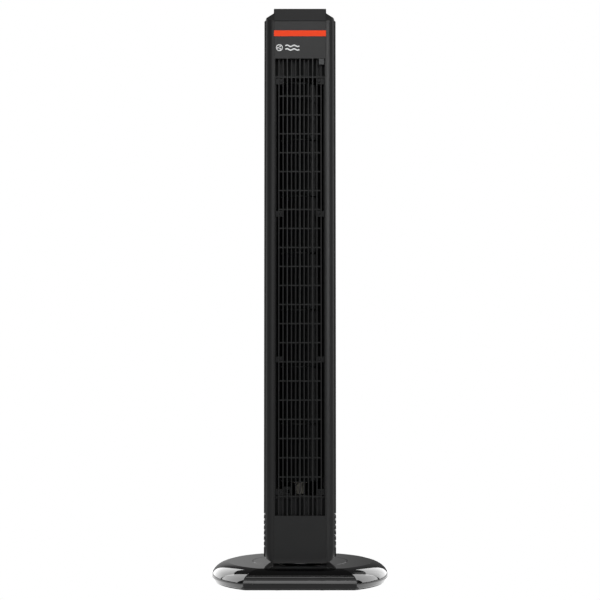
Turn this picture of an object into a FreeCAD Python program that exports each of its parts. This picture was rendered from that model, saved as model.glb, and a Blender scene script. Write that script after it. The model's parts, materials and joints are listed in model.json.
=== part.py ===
"""Tower fan: an upright cross-flow fan that swings on a low base with flat front and back. Millimetres.

Frame: the origin is on the floor under the swing axis, +Z is up, and the air leaves towards -Y.
"""

import FreeCAD, Part
import math
import os

V = FreeCAD.Vector

# ---- overall sizes ----
TOTAL_H = 1016.0            # floor to the ridge of the head
GAP = 0.2                   # clearance between pieces that fit together
RUN = 0.3                   # clearance between pieces that move past each other
WALL = 2.6                  # moulded wall thickness

# ---- base ----
FOOT_H = 4.5                # the pan's underside above the floor
SPLIT_Z = 12.0              # parting line between pan and cover
BASE_TOP = 37.0             # flat top of the cover
R_SIDE = 155.6              # round outline at the parting line
CUT_SIDE = R_SIDE - 33.1    # front and back flats at the parting line, from the axis
R_TOP = R_SIDE - 28.6       # round outline of the flat top
CUT_TOP = CUT_SIDE - 16.5   # front and back flats of the flat top
BASE_WALL = 3.0             # moulded wall of the pan and the cover
PAN_DRAFT = 4.5             # how far the pan tucks in towards the floor
SKIRT_Z = 1.2               # lower edge of the skirt under the pan
SKIRT_IN = 5.5              # how far the skirt tucks in from the pan's lower edge
SKIRT_W = 2.6               # width of the skirt's lower edge
EDGE_ROUND = 2.2            # rounding where the flats meet the round sides
R_TABLE = 82.9              # turntable disc
TABLE_T = 3.5               # turntable thickness
POST_R = 20.0               # hollow pivot post
POST_BORE = 13.0
POST_FIT = 0.1              # radial clearance of the hub on the post
POST_TOP = 34.0
HUB_R = 26.0                # outside of the turntable's hub
HUB_BOTTOM = 20.0
BOSS_R = 40.0               # seat under the column, on the turntable
COLUMN_GAP = 2.9            # turntable top to column underside
FOOT_R = 8.5
FOOT_SEAT = 1.0             # how far a rubber foot sits into the pan
GLIDE_R = R_TABLE - 11.9    # middle radius of the glide ring
GLIDE_W = 6.0
GLIDE_T = 3.0
CORD_BORE = 3.2             # bore of the cord grommet
GROMMET_R = 4.8
GROMMET_RIM_R = 6.4
GROMMET_SINK = 3.4          # seat of the grommet's rim, inside the back flat
CORD_X = 62.0
CORD_Z = 20.5
PAN_SCREW_IN = 21.6         # the pan's screws stand this far inside the round side
PAN_SIDE_SCREW_IN = 17.6    # and the two on the sides this far
BALLAST_T = 6.0

# ---- swing drive ----
MODULE = 1.5
PRESSURE = 25.0
RING_TEETH = 38
PINION_TEETH = 14
BACKLASH = 0.22
GEAR_Z0 = 8.0
GEAR_T = 8.0
PINION_SHAFT_R = 2.5
SWING_DEG = 40.0
STOP_R = GLIDE_R - 14.1     # radius of the stop pins and of the stop lug
STOP_PIN_R = 3.0
STOP_LUG_HALF = 4.0

# ---- column outline, seen from above ----
FRONT_Y = -60.0             # face of the fascia
FASCIA_HALF = 45.0
SHELL_R = 62.8              # round back and half width of the rear shell
SHELL_CY = -3.0             # centre of the round back
FACET_SIDE = SHELL_R - 2.8  # half width of the front housing
FACET_BACK_Y = -38.0
FACET_BOW = 3.6             # how far the facets beside the fascia bow out
SEAM_Y = -34.8              # seam between front housing and rear shell
COLUMN_Z0 = BASE_TOP + COLUMN_GAP + 0.1
HEAD_FRONT_Z = TOTAL_H - 33.8   # top edge of the fascia
RIDGE_Y = -8.0
ROOF_BACK_Y = 30.0
HEAD_BACK_Z = TOTAL_H - 26.0
STRIP_HALF = 46.5           # half width of the raised middle strip of the head
CLIP_TOP = (TOTAL_H - 13.0, TOTAL_H - 29.5)  # clipped top corners: at the strip, and at the side
CLIP_FOOT = (COLUMN_Z0, 49.0)

# ---- outlet ----
OPEN_HALF = 43.5
OPEN_Z0 = 121.0
OPEN_Z1 = TOTAL_H - 100.0
BAR_PITCH = (OPEN_HALF + 0.7) / 2
BAR_W = 2.1
FASCIA_T = 3.0
BAR_DEPTH = 5.6
RAIL_H = 2.0                # rail behind the fascia that carries the ends of the bars
FIN_W = 1.9
FINS_PER_BAR = 3
GUARD_Y0 = FRONT_Y + BAR_DEPTH + 0.6
FIN_DEPTH = 5.0
RUNG_TOP_Z = TOTAL_H - 132.0
RUNG_LOW_Z = 150.0          # no rung stands lower than this
RUNG_PITCH = 33.18
RUNG_COUNT = int((RUNG_TOP_Z - RUNG_LOW_Z) / RUNG_PITCH) + 1
RUNG_H = 2.2
RUNG_DEPTH = 3.0
GUARD_SCREW_X = 33.15
FLUTED_T = 8.5              # fluted blanks at the ends of the opening
FLUTE_R = 12.6
FLUTE_DEPTH = 5.6
GUARD_SCREW_ROWS = (0.196, RUNG_COUNT // 3 + 0.215, 2 * RUNG_COUNT // 3 - 0.124, RUNG_COUNT - 1.21)
GUARD_SCREW_Z = [RUNG_TOP_Z - row * RUNG_PITCH for row in GUARD_SCREW_ROWS]
ACCENT_Z0 = TOTAL_H - 60.8
ACCENT_H = 10.2
ACCENT_HALF = 45.4
ACCENT_FIT = 0.15
ACCENT_PROUD = 0.7          # how far the band stands out from the front housing
ACCENT_T = 2.1              # and how thick it is
SENSOR = (32.8, 42.2, TOTAL_H - 111.0, TOTAL_H - 100.2)   # x0, x1, z0, z1

# ---- intake ----
SLOT_PITCH = 9.226
SLOT_H = 3.7
SLOT_TOP_Z = TOTAL_H - 112.1
SLOT_LOW_Z = 147.0          # no slot of the grilles stands lower than this
SLOT_COUNT = int((SLOT_TOP_Z - SLOT_LOW_Z) / SLOT_PITCH) + 1
VENT_TOP_Z = 121.3
VENT_COUNT = 7
GRILLE_FRAME = 3.2          # blank edge of an intake grille round the back, in degrees
GRILLE_TUCK = 1.2           # how far the left grille lies inside the shell's side at its back
PANEL_FIT = 0.3             # gap between an intake grille and its window, in degrees
PANEL_LEFT = 58.0           # angles round the back, from +Y towards -X
PANEL_MID = 53.0
PANEL_RIGHT = -50.0
MULLION = 3.0               # half width of the middle mullion, in degrees
INNER_RIB = 2.6             # how far the ribs behind a grille stand inwards
PANEL_FRONT_Y = SEAM_Y + 0.6
HANDLE_HALF = 40.0          # carrying pocket in the back
HANDLE_Z0 = TOTAL_H - 78.0
HANDLE_Z1 = TOTAL_H - 46.0
HANDLE_Y0 = SHELL_R - 26.8  # floor of the pocket
REAR_SCREWS = [(a, z) for a in (-38.0, 38.0) for z in (132.0, TOTAL_H - 94.0)]   # angle, height

# ---- wheel and its drive ----
WHEEL_X = 0.0
WHEEL_Y = 1.0
WHEEL_R = 38.0
WHEEL_IN_R = WHEEL_R - 8.5
WHEEL_Z0 = 177.0
BLADES = 28
BLADE_T = 1.1
BLADE_MID = 2.6             # how far the blade has swept forward at mid height, in degrees
BLADE_SWEEP = 9.5           # and at its tip
DISC_T = 2.2
SHAFT_R = 4.0
SHAFT_CLEAR = 0.05
HUB_OUT_R = 9.0
PLATE_T = 4.0
LOWER_PLATE_Z = 150.0
UPPER_PLATE_Z = TOTAL_H - 132.0
WHEEL_Z1 = UPPER_PLATE_Z - 6.0
WHEEL_SEGMENTS = round((WHEEL_Z1 - WHEEL_Z0) / 100)
TONGUE_CLEAR = 3.5          # tongue of the duct to the wheel
LEAK_WALL = 2.5             # low wall behind the wheel's foot: its clearance and thickness
HUB_SCREW_DEG = -50.0       # the hub's screw points out this far round from the front
MOTOR_R = 38.0
MOTOR_Z0 = 72.0
MOTOR_Z1 = 112.0
MOTOR_POST_R = MOTOR_R + 8.0
DUCT_T = 2.4
FRONT_OF_DUCT = -46.0

# ---- controls ----
DECK_T = 3.0
BUTTON_X = (-32.0, -16.0, 0.0, 16.0, 32.0)
BUTTON_NAMES = ("power", "speed", "mode", "swing", "timer")
BUTTON_Y = 11.0
BUTTON_W = 11.0
BUTTON_D = 9.0
BUTTON_PROUD = 0.7
BUTTON_TRAVEL = 1.0
BOARD_T = 1.6
POWER_BOARD_Y = -50.0       # front of the mains board, behind the lower panel
SWITCH_H = 3.6

TURNTABLE_Z0 = BASE_TOP - TABLE_T
CENTRES = MODULE * (RING_TEETH + PINION_TEETH) / 2
SHELL_IN = SHELL_R - WALL
DECK_Z = TOTAL_H - DECK_T
BOARD_Z = DECK_Z - 12.0
BOSS_OUT = SHELL_IN - 0.3
BEYOND = 100.0              # reaches past every piece of the column
HUB_SCREW_DIR = V(math.sin(math.radians(HUB_SCREW_DEG)), -math.cos(math.radians(HUB_SCREW_DEG)), 0)
FIN_PITCH = BAR_PITCH / FINS_PER_BAR
MID_FINS = 5


# ---- helpers ----
def box(x0, y0, z0, x1, y1, z1):
    return Part.makeBox(x1 - x0, y1 - y0, z1 - z0, V(x0, y0, z0))


def rod(r, z0, z1, x=0.0, y=0.0):
    return Part.makeCylinder(r, z1 - z0, V(x, y, z0))


def rod_y(r, y0, y1, x, z):
    return Part.makeCylinder(r, y1 - y0, V(x, y0, z), V(0, 1, 0))


def tube(r_out, r_in, z0, z1, x=0.0, y=0.0):
    return rod(r_out, z0, z1, x, y).cut(rod(r_in, z0 - 1, z1 + 1, x, y))


def fuse(shapes):
    whole = shapes[0]
    if len(shapes) > 1:
        whole = whole.multiFuse(shapes[1:])
    return whole.removeSplitter()


def cut(shape, tools):
    return shape.cut(Part.makeCompound(tools)) if tools else shape


def face(points):
    return Part.Face(Part.makePolygon([V(*p) for p in list(points) + [points[0]]]))


def prism_x(points_yz, half):
    return face([(-half, y, z) for y, z in points_yz]).extrude(V(2 * half, 0, 0))


def prism_y(points_xz, y0, y1):
    return face([(x, y0, z) for x, z in points_xz]).extrude(V(0, y1 - y0, 0))


def arc(a, b, c):
    return Part.Arc(V(*a), V(*b), V(*c)).toShape()


def line(a, b):
    return Part.LineSegment(V(*a), V(*b)).toShape()


def rounded_box(x0, y0, z0, x1, y1, z1, r):
    body = box(x0, y0, z0, x1, y1, z1)
    upright = [e for e in body.Edges if abs(e.tangentAt(e.FirstParameter).z) > 0.99]
    return body.makeFillet(r, upright)


def turned(shape, degrees, centre=V(0, 0, 0), axis=V(0, 0, 1)):
    copy = shape.copy()
    copy.rotate(centre, axis, degrees)
    return copy


def moved(shape, x=0.0, y=0.0, z=0.0):
    copy = shape.copy()
    copy.translate(V(x, y, z))
    return copy


def screw(shank_r, length, head_r, head_h):
    """Pan-head screw, pointing down -Z, with the underside of its head at the origin."""
    head = rod(head_r, 0, head_h)
    rim = [e for e in head.Edges if e.BoundBox.ZMin > head_h - 0.01]
    head = head.makeFillet(head_h * 0.45, rim)
    slot_half = head_r * 0.16
    arm = head_r * 0.6
    depth = head_h * 0.55
    cross = [box(-arm, -slot_half, head_h - depth, arm, slot_half, head_h + 1),
             box(-slot_half, -arm, head_h - depth, slot_half, arm, head_h + 1)]
    return fuse([cut(head, cross), rod(shank_r, -length, 0.1)])


# ---- base ----
def shoulder(r_top, z_top, r_side, z_side):
    """Half profile from the crease of the flat top down an elliptical bulge to the side, as (radius, z)."""
    steps = 7
    crease = math.radians(76.0)
    bulge_r = (r_side - r_top) / (1 - math.cos(crease))
    bulge_z = (z_top - z_side) / math.sin(crease)
    points = []
    for i in range(steps + 1):
        t = crease * (1 - i / steps)
        points.append((r_side - bulge_r * (1 - math.cos(t)), z_side + bulge_z * math.sin(t)))
    return points


def shoulder_edges(points, place):
    curve = Part.BSplineCurve()
    curve.interpolate([place(r, z) for r, z in points])
    return curve.toShape()


def base_form(inset):
    """The cover's outer form, shrunk by inset: a round dome cut by a loaf with front and back flats."""
    top_in = inset * 0.5
    z_top = BASE_TOP - inset
    r_top, c_top = R_TOP - top_in, CUT_TOP - top_in
    r_side, c_side = R_SIDE - inset, CUT_SIDE - inset
    z_low = SPLIT_Z - 2.0
    round_points = shoulder(r_top, z_top, r_side, SPLIT_Z)
    flat_points = shoulder(c_top, z_top, c_side, SPLIT_Z)
    wire = Part.Wire([line((0, 0, z_low), (0, 0, z_top)),
                      line((0, 0, z_top), (r_top, 0, z_top)),
                      shoulder_edges(round_points, lambda r, z: V(r, 0, z)),
                      line((r_side, 0, SPLIT_Z), (r_side, 0, z_low)),
                      line((r_side, 0, z_low), (0, 0, z_low))])
    dome = Part.Face(wire).revolve(V(0, 0, 0), V(0, 0, 1), 360)
    half = R_SIDE + 10
    loaf_wire = Part.Wire([line((-half, -c_side, z_low), (-half, -c_side, SPLIT_Z)),
                           shoulder_edges(flat_points[::-1], lambda r, z: V(-half, -r, z)),
                           line((-half, -c_top, z_top), (-half, c_top, z_top)),
                           shoulder_edges(flat_points, lambda r, z: V(-half, r, z)),
                           line((-half, c_side, SPLIT_Z), (-half, c_side, z_low)),
                           line((-half, c_side, z_low), (-half, -c_side, z_low))])
    loaf = Part.Face(loaf_wire).extrude(V(2 * half, 0, 0))
    return dome.common(loaf)


def round_corners(form, radius):
    """Rounds the four upright edges where the flats meet the round sides."""
    corners = []
    for e in form.Edges:
        b = e.BoundBox
        upright_run = b.ZMax - b.ZMin > 1.0
        off_axes = b.XMin * b.XMax > 0 and b.YMin * b.YMax > 0
        if upright_run and off_axes:
            corners.append(e)
    return form.makeFillet(radius, corners) if corners else form


def drafted(in0, z0, in1, z1):
    """The base's outline with leaning sides: in0 inside the parting line's at z0, and in1 at z1."""
    if in0 == in1:
        round_form = rod(R_SIDE - in0, z0, z1)
    else:
        round_form = Part.makeCone(R_SIDE - in0, R_SIDE - in1, z1 - z0, V(0, 0, z0))
    slab = prism_x([(in0 - CUT_SIDE, z0), (CUT_SIDE - in0, z0), (CUT_SIDE - in1, z1), (in1 - CUT_SIDE, z1)],
                   R_SIDE + 10)
    return round_form.common(slab)


def pan_form(inset, z0, z1):
    """The pan's outer form: it tucks in towards the floor."""
    lean = PAN_DRAFT / (SPLIT_Z - FOOT_H)
    return drafted(inset + lean * (SPLIT_Z - z0), z0, inset + lean * (SPLIT_Z - z1), z1)


def pan_skirt():
    """Chamfered rim under the pan, which hides the feet."""
    low = PAN_DRAFT + SKIRT_IN
    rim = drafted(low, SKIRT_Z, PAN_DRAFT, FOOT_H + 0.01)
    inside = low + SKIRT_W
    return rim.cut(drafted(inside, SKIRT_Z - 1, inside, FOOT_H + 1))


def pan_screw_places():
    corner, side = R_SIDE - PAN_SCREW_IN, R_SIDE - PAN_SIDE_SCREW_IN
    return [(r * math.sin(math.radians(a)), r * math.cos(math.radians(a)))
            for a, r in ((48, corner), (132, corner), (228, corner), (312, corner), (90, side), (270, side))]


def foot_places():
    corners = [(x, y) for y in (60.5 - CUT_SIDE, CUT_SIDE - 60.5) for x in (43.6 - R_SIDE, R_SIDE - 43.6)]
    return corners + [(x, y) for y in (24.5 - CUT_SIDE, CUT_SIDE - 24.5) for x in (-38, 38)]


def base_cover():
    outer = round_corners(base_form(0), EDGE_ROUND)
    outer = outer.cut(rod(R_SIDE + 5, 0, SPLIT_Z))
    inner = base_form(BASE_WALL)
    shell = outer.cut(inner)
    bosses = []
    for x, y in pan_screw_places():
        boss = rod(4.5, SPLIT_Z - 0.6, BASE_TOP - 1, x, y)
        bosses.append(boss.common(base_form(1.0)))
    collar = tube(R_TABLE + 4.0, R_TABLE + 0.7, BASE_TOP - 9, BASE_TOP - 1)
    shell = fuse([shell, collar] + bosses)
    holes = [rod(R_TABLE + 0.7, 0, BASE_TOP + 5)]
    holes += [rod(1.25, SPLIT_Z - 2, SPLIT_Z + 8, x, y) for x, y in pan_screw_places()]
    holes.append(rod_y(GROMMET_R + GAP, CUT_SIDE - 12, CUT_SIDE + 5, CORD_X, CORD_Z))
    holes.append(rod_y(GROMMET_RIM_R + GAP, CUT_SIDE - GROMMET_SINK, CUT_SIDE + 5, CORD_X, CORD_Z))
    return cut(shell, holes)


def base_pan():
    outer = pan_form(0, FOOT_H, SPLIT_Z - 0.25)
    floor_top = FOOT_H + BASE_WALL
    inner = pan_form(BASE_WALL, floor_top, SPLIT_Z + 2)
    pan = outer.cut(inner)
    post = rod(POST_R, floor_top - 1, POST_TOP)
    wall = tube(GLIDE_R + 1.6, GLIDE_R - 1.6, floor_top - 1, TURNTABLE_Z0 - RUN - GLIDE_T)
    stops = []
    reach = math.degrees((STOP_PIN_R + STOP_LUG_HALF + 0.6) / STOP_R)
    for side in (-1, 1):
        a = math.radians(-90 + side * (SWING_DEG + reach))
        x, y = STOP_R * math.cos(a), STOP_R * math.sin(a)
        stops.append(rod(STOP_PIN_R, floor_top - 1, TURNTABLE_Z0 - 4, x, y))
    bosses = [rod(5.5, floor_top - 1, SPLIT_Z - 0.9, x, y) for x, y in pan_screw_places()]
    pan = fuse([pan, pan_skirt(), post, wall] + stops + bosses)
    holes = [rod(POST_BORE, 0, POST_TOP + 1)]
    holes += [rod(1.6, 0, SPLIT_Z + 2, x, y) for x, y in pan_screw_places()]
    holes += [rod(3.4, 0, FOOT_H + 2.2, x, y) for x, y in pan_screw_places()]
    holes += [rod(FOOT_R + GAP, 0, FOOT_H + FOOT_SEAT, x, y) for x, y in foot_places()]
    holes += [rod(1.3, POST_TOP - 10, POST_TOP + 1, x, y) for x, y in retainer_screw_places()]
    return cut(pan, holes)


def base_screws():
    made = screw(1.2, 9.5, 3.0, 1.8)
    up = turned(made, 180, axis=V(1, 0, 0))
    return Part.makeCompound([moved(up, x, y, FOOT_H + 2.15) for x, y in pan_screw_places()])


def rubber_feet():
    feet = []
    for x, y in foot_places():
        pad = rod(FOOT_R, 0, FOOT_H + FOOT_SEAT - 0.05, x, y)
        rim = [e for e in pad.Edges if e.BoundBox.ZMax < 0.01]
        feet.append(pad.makeFillet(1.0, rim))
    return Part.makeCompound(feet)


def ballast_plates():
    z0 = FOOT_H + BASE_WALL + 0.05
    ring = tube(R_SIDE - 29.6, R_TABLE + 1.1, z0, z0 + BALLAST_T)
    keep_out = [box(-50, -R_SIDE, 0, 50, R_SIDE, 60)]
    keep_out += [rod(7.0, 0, 60, x, y) for x, y in pan_screw_places()]
    limit = box(-R_SIDE, 30.5 - CUT_SIDE, 0, R_SIDE, CUT_SIDE - 30.5, 60)
    return cut(ring.common(limit), keep_out)


def glide_ring():
    z1 = TURNTABLE_Z0 - RUN
    ring = tube(GLIDE_R + GLIDE_W / 2, GLIDE_R - GLIDE_W / 2, z1 - GLIDE_T, z1)
    lip = tube(GLIDE_R + GLIDE_W / 2, GLIDE_R + 1.8, z1 - GLIDE_T - 3, z1 - GLIDE_T + 0.5)
    return fuse([ring, lip])


def cord_grommet():
    seat_y = CUT_SIDE - GROMMET_SINK
    sleeve = rod_y(GROMMET_R, seat_y - 4.5, seat_y + 0.5, CORD_X, CORD_Z)
    rim = rod_y(GROMMET_RIM_R, seat_y + 0.02, seat_y + 4.4, CORD_X, CORD_Z)
    nose = Part.makeCone(GROMMET_R + 0.6, GROMMET_R - 0.2, 6.0, V(CORD_X, seat_y + 4.2, CORD_Z), V(0, 1, 0))
    body = fuse([sleeve, rim, nose])
    groove = turned(tube(9, GROMMET_R - 0.3, 0, 0.9), -90, axis=V(1, 0, 0))
    grooves = [moved(groove, CORD_X, seat_y + 5.4 + 2.0 * i, CORD_Z) for i in range(2)]
    return cut(body, grooves + [rod_y(CORD_BORE, seat_y - 10, seat_y + 14, CORD_X, CORD_Z)])


def turntable():
    disc = rod(R_TABLE, TURNTABLE_Z0, BASE_TOP)
    top_rim = [e for e in disc.Edges if e.BoundBox.ZMin > BASE_TOP - 0.01]
    disc = disc.makeFillet(0.5, top_rim)
    hub = rod(HUB_R, HUB_BOTTOM, TURNTABLE_Z0 + 1)
    boss = rod(BOSS_R, BASE_TOP - 1, BASE_TOP + COLUMN_GAP)
    lug = box(-STOP_LUG_HALF, -STOP_R - 3, TURNTABLE_Z0 - 9, STOP_LUG_HALF, -STOP_R + 3, TURNTABLE_Z0 + 1)
    rib = box(-1.2, HUB_R - 2, TURNTABLE_Z0 - 5, 1.2, STOP_R - STOP_PIN_R - 2, TURNTABLE_Z0 + 1)
    ribs = [turned(rib, a) for a in (45, 135, 225, 315)]
    table = fuse([disc, hub, boss, lug] + ribs)
    holes = [rod(POST_R + POST_FIT, 0, 60), rod(HUB_R - 1, POST_TOP - 0.25, 60), rod(4.2, 0, 60, 0, CENTRES)]
    holes += [rod(2.0, TURNTABLE_Z0 - 1, 60, x, y) for x, y in foot_screw_places()]
    return cut(table, holes)


def retainer_screw_places():
    r = (POST_R + POST_BORE) / 2
    return [(r * math.cos(math.radians(a)), r * math.sin(math.radians(a))) for a in (90, 210, 330)]


def pivot_retainer():
    ring = tube(HUB_R - 1.6, POST_BORE, POST_TOP + 0.02, POST_TOP + 2.0)
    return cut(ring, [rod(1.6, 0, 60, x, y) for x, y in retainer_screw_places()])


def retainer_screws():
    made = screw(1.25, 8, 2.8, 1.8)
    return Part.makeCompound([moved(made, x, y, POST_TOP + 2.05) for x, y in retainer_screw_places()])


def foot_screw_places():
    return [(x, y) for x in (-30.0, 30.0) for y in (-17.0, 17.0)]


# ---- gears ----
def involute(base_r, r):
    roll = math.sqrt(max((r / base_r) ** 2 - 1, 0.0))
    return roll - math.atan(roll)


def gear(teeth, z0, thick, first_tooth_deg):
    """Spur gear with circular-arc flanks through three involute points."""
    pitch_r = MODULE * teeth / 2
    base_r = pitch_r * math.cos(math.radians(PRESSURE))
    tip_r = pitch_r + MODULE * 0.92
    root_r = pitch_r - MODULE * 1.25
    half = (math.pi * MODULE / 2 - BACKLASH / 2) / 2 / pitch_r
    start_r = max(base_r, root_r + 0.05)

    def flank(r, side, centre):
        a = centre + side * (half + involute(base_r, pitch_r) - involute(base_r, r))
        return (r * math.cos(a), r * math.sin(a), z0)

    edges = []
    step = 2 * math.pi / teeth
    for k in range(teeth):
        c = math.radians(first_tooth_deg) + k * step
        mid_r = (start_r + tip_r) / 2
        low_l, mid_l, tip_l = (flank(r, -1, c) for r in (start_r, mid_r, tip_r))
        tip_rt, mid_rt, low_rt = (flank(r, 1, c) for r in (tip_r, mid_r, start_r))
        top = (tip_r * math.cos(c), tip_r * math.sin(c), z0)
        edges += [arc(low_l, mid_l, tip_l), arc(tip_l, top, tip_rt), arc(tip_rt, mid_rt, low_rt)]
        a_end = math.atan2(low_rt[1], low_rt[0])
        next_low = flank(start_r, -1, c + step)
        a_next = math.atan2(next_low[1], next_low[0])
        if a_next < a_end:
            a_next += 2 * math.pi
        a_mid = (a_end + a_next) / 2
        root_1 = (root_r * math.cos(a_end), root_r * math.sin(a_end), z0)
        root_2 = (root_r * math.cos(a_next), root_r * math.sin(a_next), z0)
        edges += [line(low_rt, root_1),
                  arc(root_1, (root_r * math.cos(a_mid), root_r * math.sin(a_mid), z0), root_2),
                  line(root_2, next_low)]
    return Part.Face(Part.Wire(edges)).extrude(V(0, 0, thick))


def ring_gear():
    wheel = gear(RING_TEETH, GEAR_Z0, GEAR_T, 90.0)
    return wheel.cut(rod(POST_R + 0.05, 0, 60))


def swing_pinion():
    half_tooth = 180.0 / PINION_TEETH
    teeth = gear(PINION_TEETH, GEAR_Z0 + 0.5, GEAR_T - 1.0, 90.0 + half_tooth)
    collar = rod(5.0, GEAR_Z0 + GEAR_T - 1.0, GEAR_Z0 + GEAR_T + 3)
    made = fuse([teeth, collar]).cut(rod(PINION_SHAFT_R + SHAFT_CLEAR, 0, 60))
    return moved(made, 0, CENTRES)


# ---- column: shared forms ----
def side_profile(inset, deck=0.0):
    """Side view of the column as (y, z) points; deck lowers the head for the pieces that lie on it."""
    drop = inset + deck
    slope = slope_rise()
    slope_drop = drop * math.hypot(1, slope)
    front = FRONT_Y + FASCIA_T + inset if deck else FRONT_Y + inset
    front_top = HEAD_FRONT_Z - slope_drop + slope * (front - FRONT_Y)
    ridge_y = RIDGE_Y + (slope_drop - drop) / slope
    return [(front, COLUMN_Z0 + inset), (front, front_top), (ridge_y, TOTAL_H - drop),
            (ROOF_BACK_Y, TOTAL_H - drop), (SHELL_CY + SHELL_R + 4, HEAD_BACK_Z - 4 - drop),
            (SHELL_CY + SHELL_R + 4, COLUMN_Z0 + inset)]


def front_profile(inset):
    """Front view of the column as (x, z) points, with clipped corners."""
    strip = STRIP_HALF - inset
    side = SHELL_R - inset
    top = TOTAL_H + 5
    ease = inset * 0.4
    right = [(strip, COLUMN_Z0 + inset), (side, CLIP_FOOT[1] + ease), (side, CLIP_TOP[1] - ease),
             (strip, CLIP_TOP[0] - ease), (strip, top)]
    return [(x, z) for x, z in right] + [(-x, z) for x, z in right[::-1]]


def clip(shape, inset, deck=0.0):
    trimmed = shape.common(prism_x(side_profile(inset, deck), BEYOND))
    return trimmed.common(prism_y(front_profile(inset), -BEYOND, BEYOND))


def rear_plan(inset, y_front):
    """Plan of the rear shell: straight sides and a round back."""
    r = SHELL_R - inset
    return [line((r, y_front, 0), (r, SHELL_CY, 0)),
            arc((r, SHELL_CY, 0), (0, SHELL_CY + r, 0), (-r, SHELL_CY, 0)),
            line((-r, SHELL_CY, 0), (-r, y_front, 0)),
            line((-r, y_front, 0), (r, y_front, 0))]


def front_plan(inset, y_back):
    """Plan of the front housing: a flat front and a bowed facet each side."""
    side = FACET_SIDE - inset
    nose_y = FRONT_Y + 0.6 + inset
    nose_x = FASCIA_HALF + 0.8 - inset * 0.4
    bow = ((nose_x + side) / 2 + FACET_BOW * 0.75 - inset * 0.1,
           (nose_y + FACET_BACK_Y) / 2 - FACET_BOW + inset * 0.2, 0)
    return [line((-nose_x, nose_y, 0), (nose_x, nose_y, 0)),
            arc((nose_x, nose_y, 0), bow, (side, FACET_BACK_Y, 0)),
            line((side, FACET_BACK_Y, 0), (side, y_back, 0)),
            line((side, y_back, 0), (-side, y_back, 0)),
            line((-side, y_back, 0), (-side, FACET_BACK_Y, 0)),
            arc((-side, FACET_BACK_Y, 0), (-bow[0], bow[1], 0), (-nose_x, nose_y, 0))]


def upright(edges, z0, z1):
    block = Part.Face(Part.Wire(edges)).extrude(V(0, 0, z1 - z0))
    if block.Volume < 0:
        block.reverse()
    return moved(block, z=z0)


def round_back(r, degrees):
    """A point at radius r round the back's centre; angles run from +Y towards -X."""
    a = math.radians(degrees)
    return (-r * math.sin(a), SHELL_CY + r * math.cos(a), 0)


def round_arc(r, a, b):
    return arc(round_back(r, a), round_back(r, (a + b) / 2), round_back(r, b))


def ring_sector(r_out, r_in, a0, a1, z0, z1, pieces=1):
    """A curved wall round the back's centre, between two angles, with its round faces in equal pieces."""
    marks = [a0 + (a1 - a0) * i / pieces for i in range(pieces + 1)]
    way_back = marks[::-1]
    edges = [round_arc(r_out, a, b) for a, b in zip(marks, marks[1:])]
    edges.append(line(round_back(r_out, a1), round_back(r_in, a1)))
    edges += [round_arc(r_in, a, b) for a, b in zip(way_back, way_back[1:])]
    edges.append(line(round_back(r_in, a0), round_back(r_out, a0)))
    return upright(edges, z0, z1)


def left_wall(r_out, r_in, y0, a_end, z0, z1, tuck=0.0):
    """The left wall: the side from y0 back, tucking in a little, then round the back to the angle a_end."""
    mid = (90 + a_end) / 2
    r_back = r_out - tuck
    return upright([line((-r_out, y0, 0), (-r_back, SHELL_CY, 0)),
                    arc((-r_back, SHELL_CY, 0), round_back(r_back, mid), round_back(r_back, a_end)),
                    line(round_back(r_back, a_end), round_back(r_in, a_end)),
                    arc(round_back(r_in, a_end), round_back(r_in, mid), (-r_in, SHELL_CY, 0)),
                    line((-r_in, SHELL_CY, 0), (-r_in, y0, 0)),
                    line((-r_in, y0, 0), (-r_out, y0, 0))], z0, z1)


# ---- column: front ----
def front_housing():
    top = TOTAL_H + 10
    outer = clip(upright(front_plan(0, SEAM_Y), 0, top), 0.0)
    inner = clip(upright(front_plan(WALL, SEAM_Y + 20), 0, top), WALL, DECK_T + GAP)
    shell = outer.cut(inner)
    seat = FASCIA_HALF + GAP
    z0, z1 = OPEN_Z0 - RAIL_H - GAP, OPEN_Z1 + RAIL_H + GAP
    pegs = [rod_y(3.0, FRONT_Y + FASCIA_T + 2, POWER_BOARD_Y - 0.05, x, z) for x, z in power_board_pegs()]
    shell = fuse([shell] + pegs)
    cuts = [box(-seat, FRONT_Y - 5, 0, seat, FRONT_Y + FASCIA_T + GAP, HEAD_FRONT_Z + 40),
            box(-OPEN_HALF, FRONT_Y - 5, z0, OPEN_HALF, FRONT_Y + 12, z1),
            accent_form(ACCENT_FIT), lens_bed(GAP, GAP), on_slope(box(-31, 11, -9, 31, 47, 2))]
    return largest(cut(shell, cuts))


def power_board_pegs():
    return [(x, z) for x in (-28.0, 28.0) for z in (58.0, 98.0)]


def power_board():
    """Mains board behind the lower panel: relay, transformer, filter capacitor and terminal block."""
    y0 = POWER_BOARD_Y
    board = box(-34, y0, 52, 34, y0 + BOARD_T, 104)
    y1 = y0 + BOARD_T - 0.01
    parts = [rounded_box(-16, y1, 82, 6, y1 + 4.5, 100, 1), box(10, y1, 84, 24, y1 + 4.0, 100),
             box(-12, y1, 56, 20, y1 + 4.5, 64), rod_y(4.0, y1, y1 + 4.5, -20, 70),
             rod_y(2.5, y1, y1 + 4.0, 18, 74)]
    return cut(fuse([board] + parts), [rod_y(1.6, y0 - 1, y0 + 9, x, z) for x, z in power_board_pegs()])


def largest(shape):
    solids = sorted(shape.Solids, key=lambda s: s.Volume)
    return solids[-1]


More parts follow.
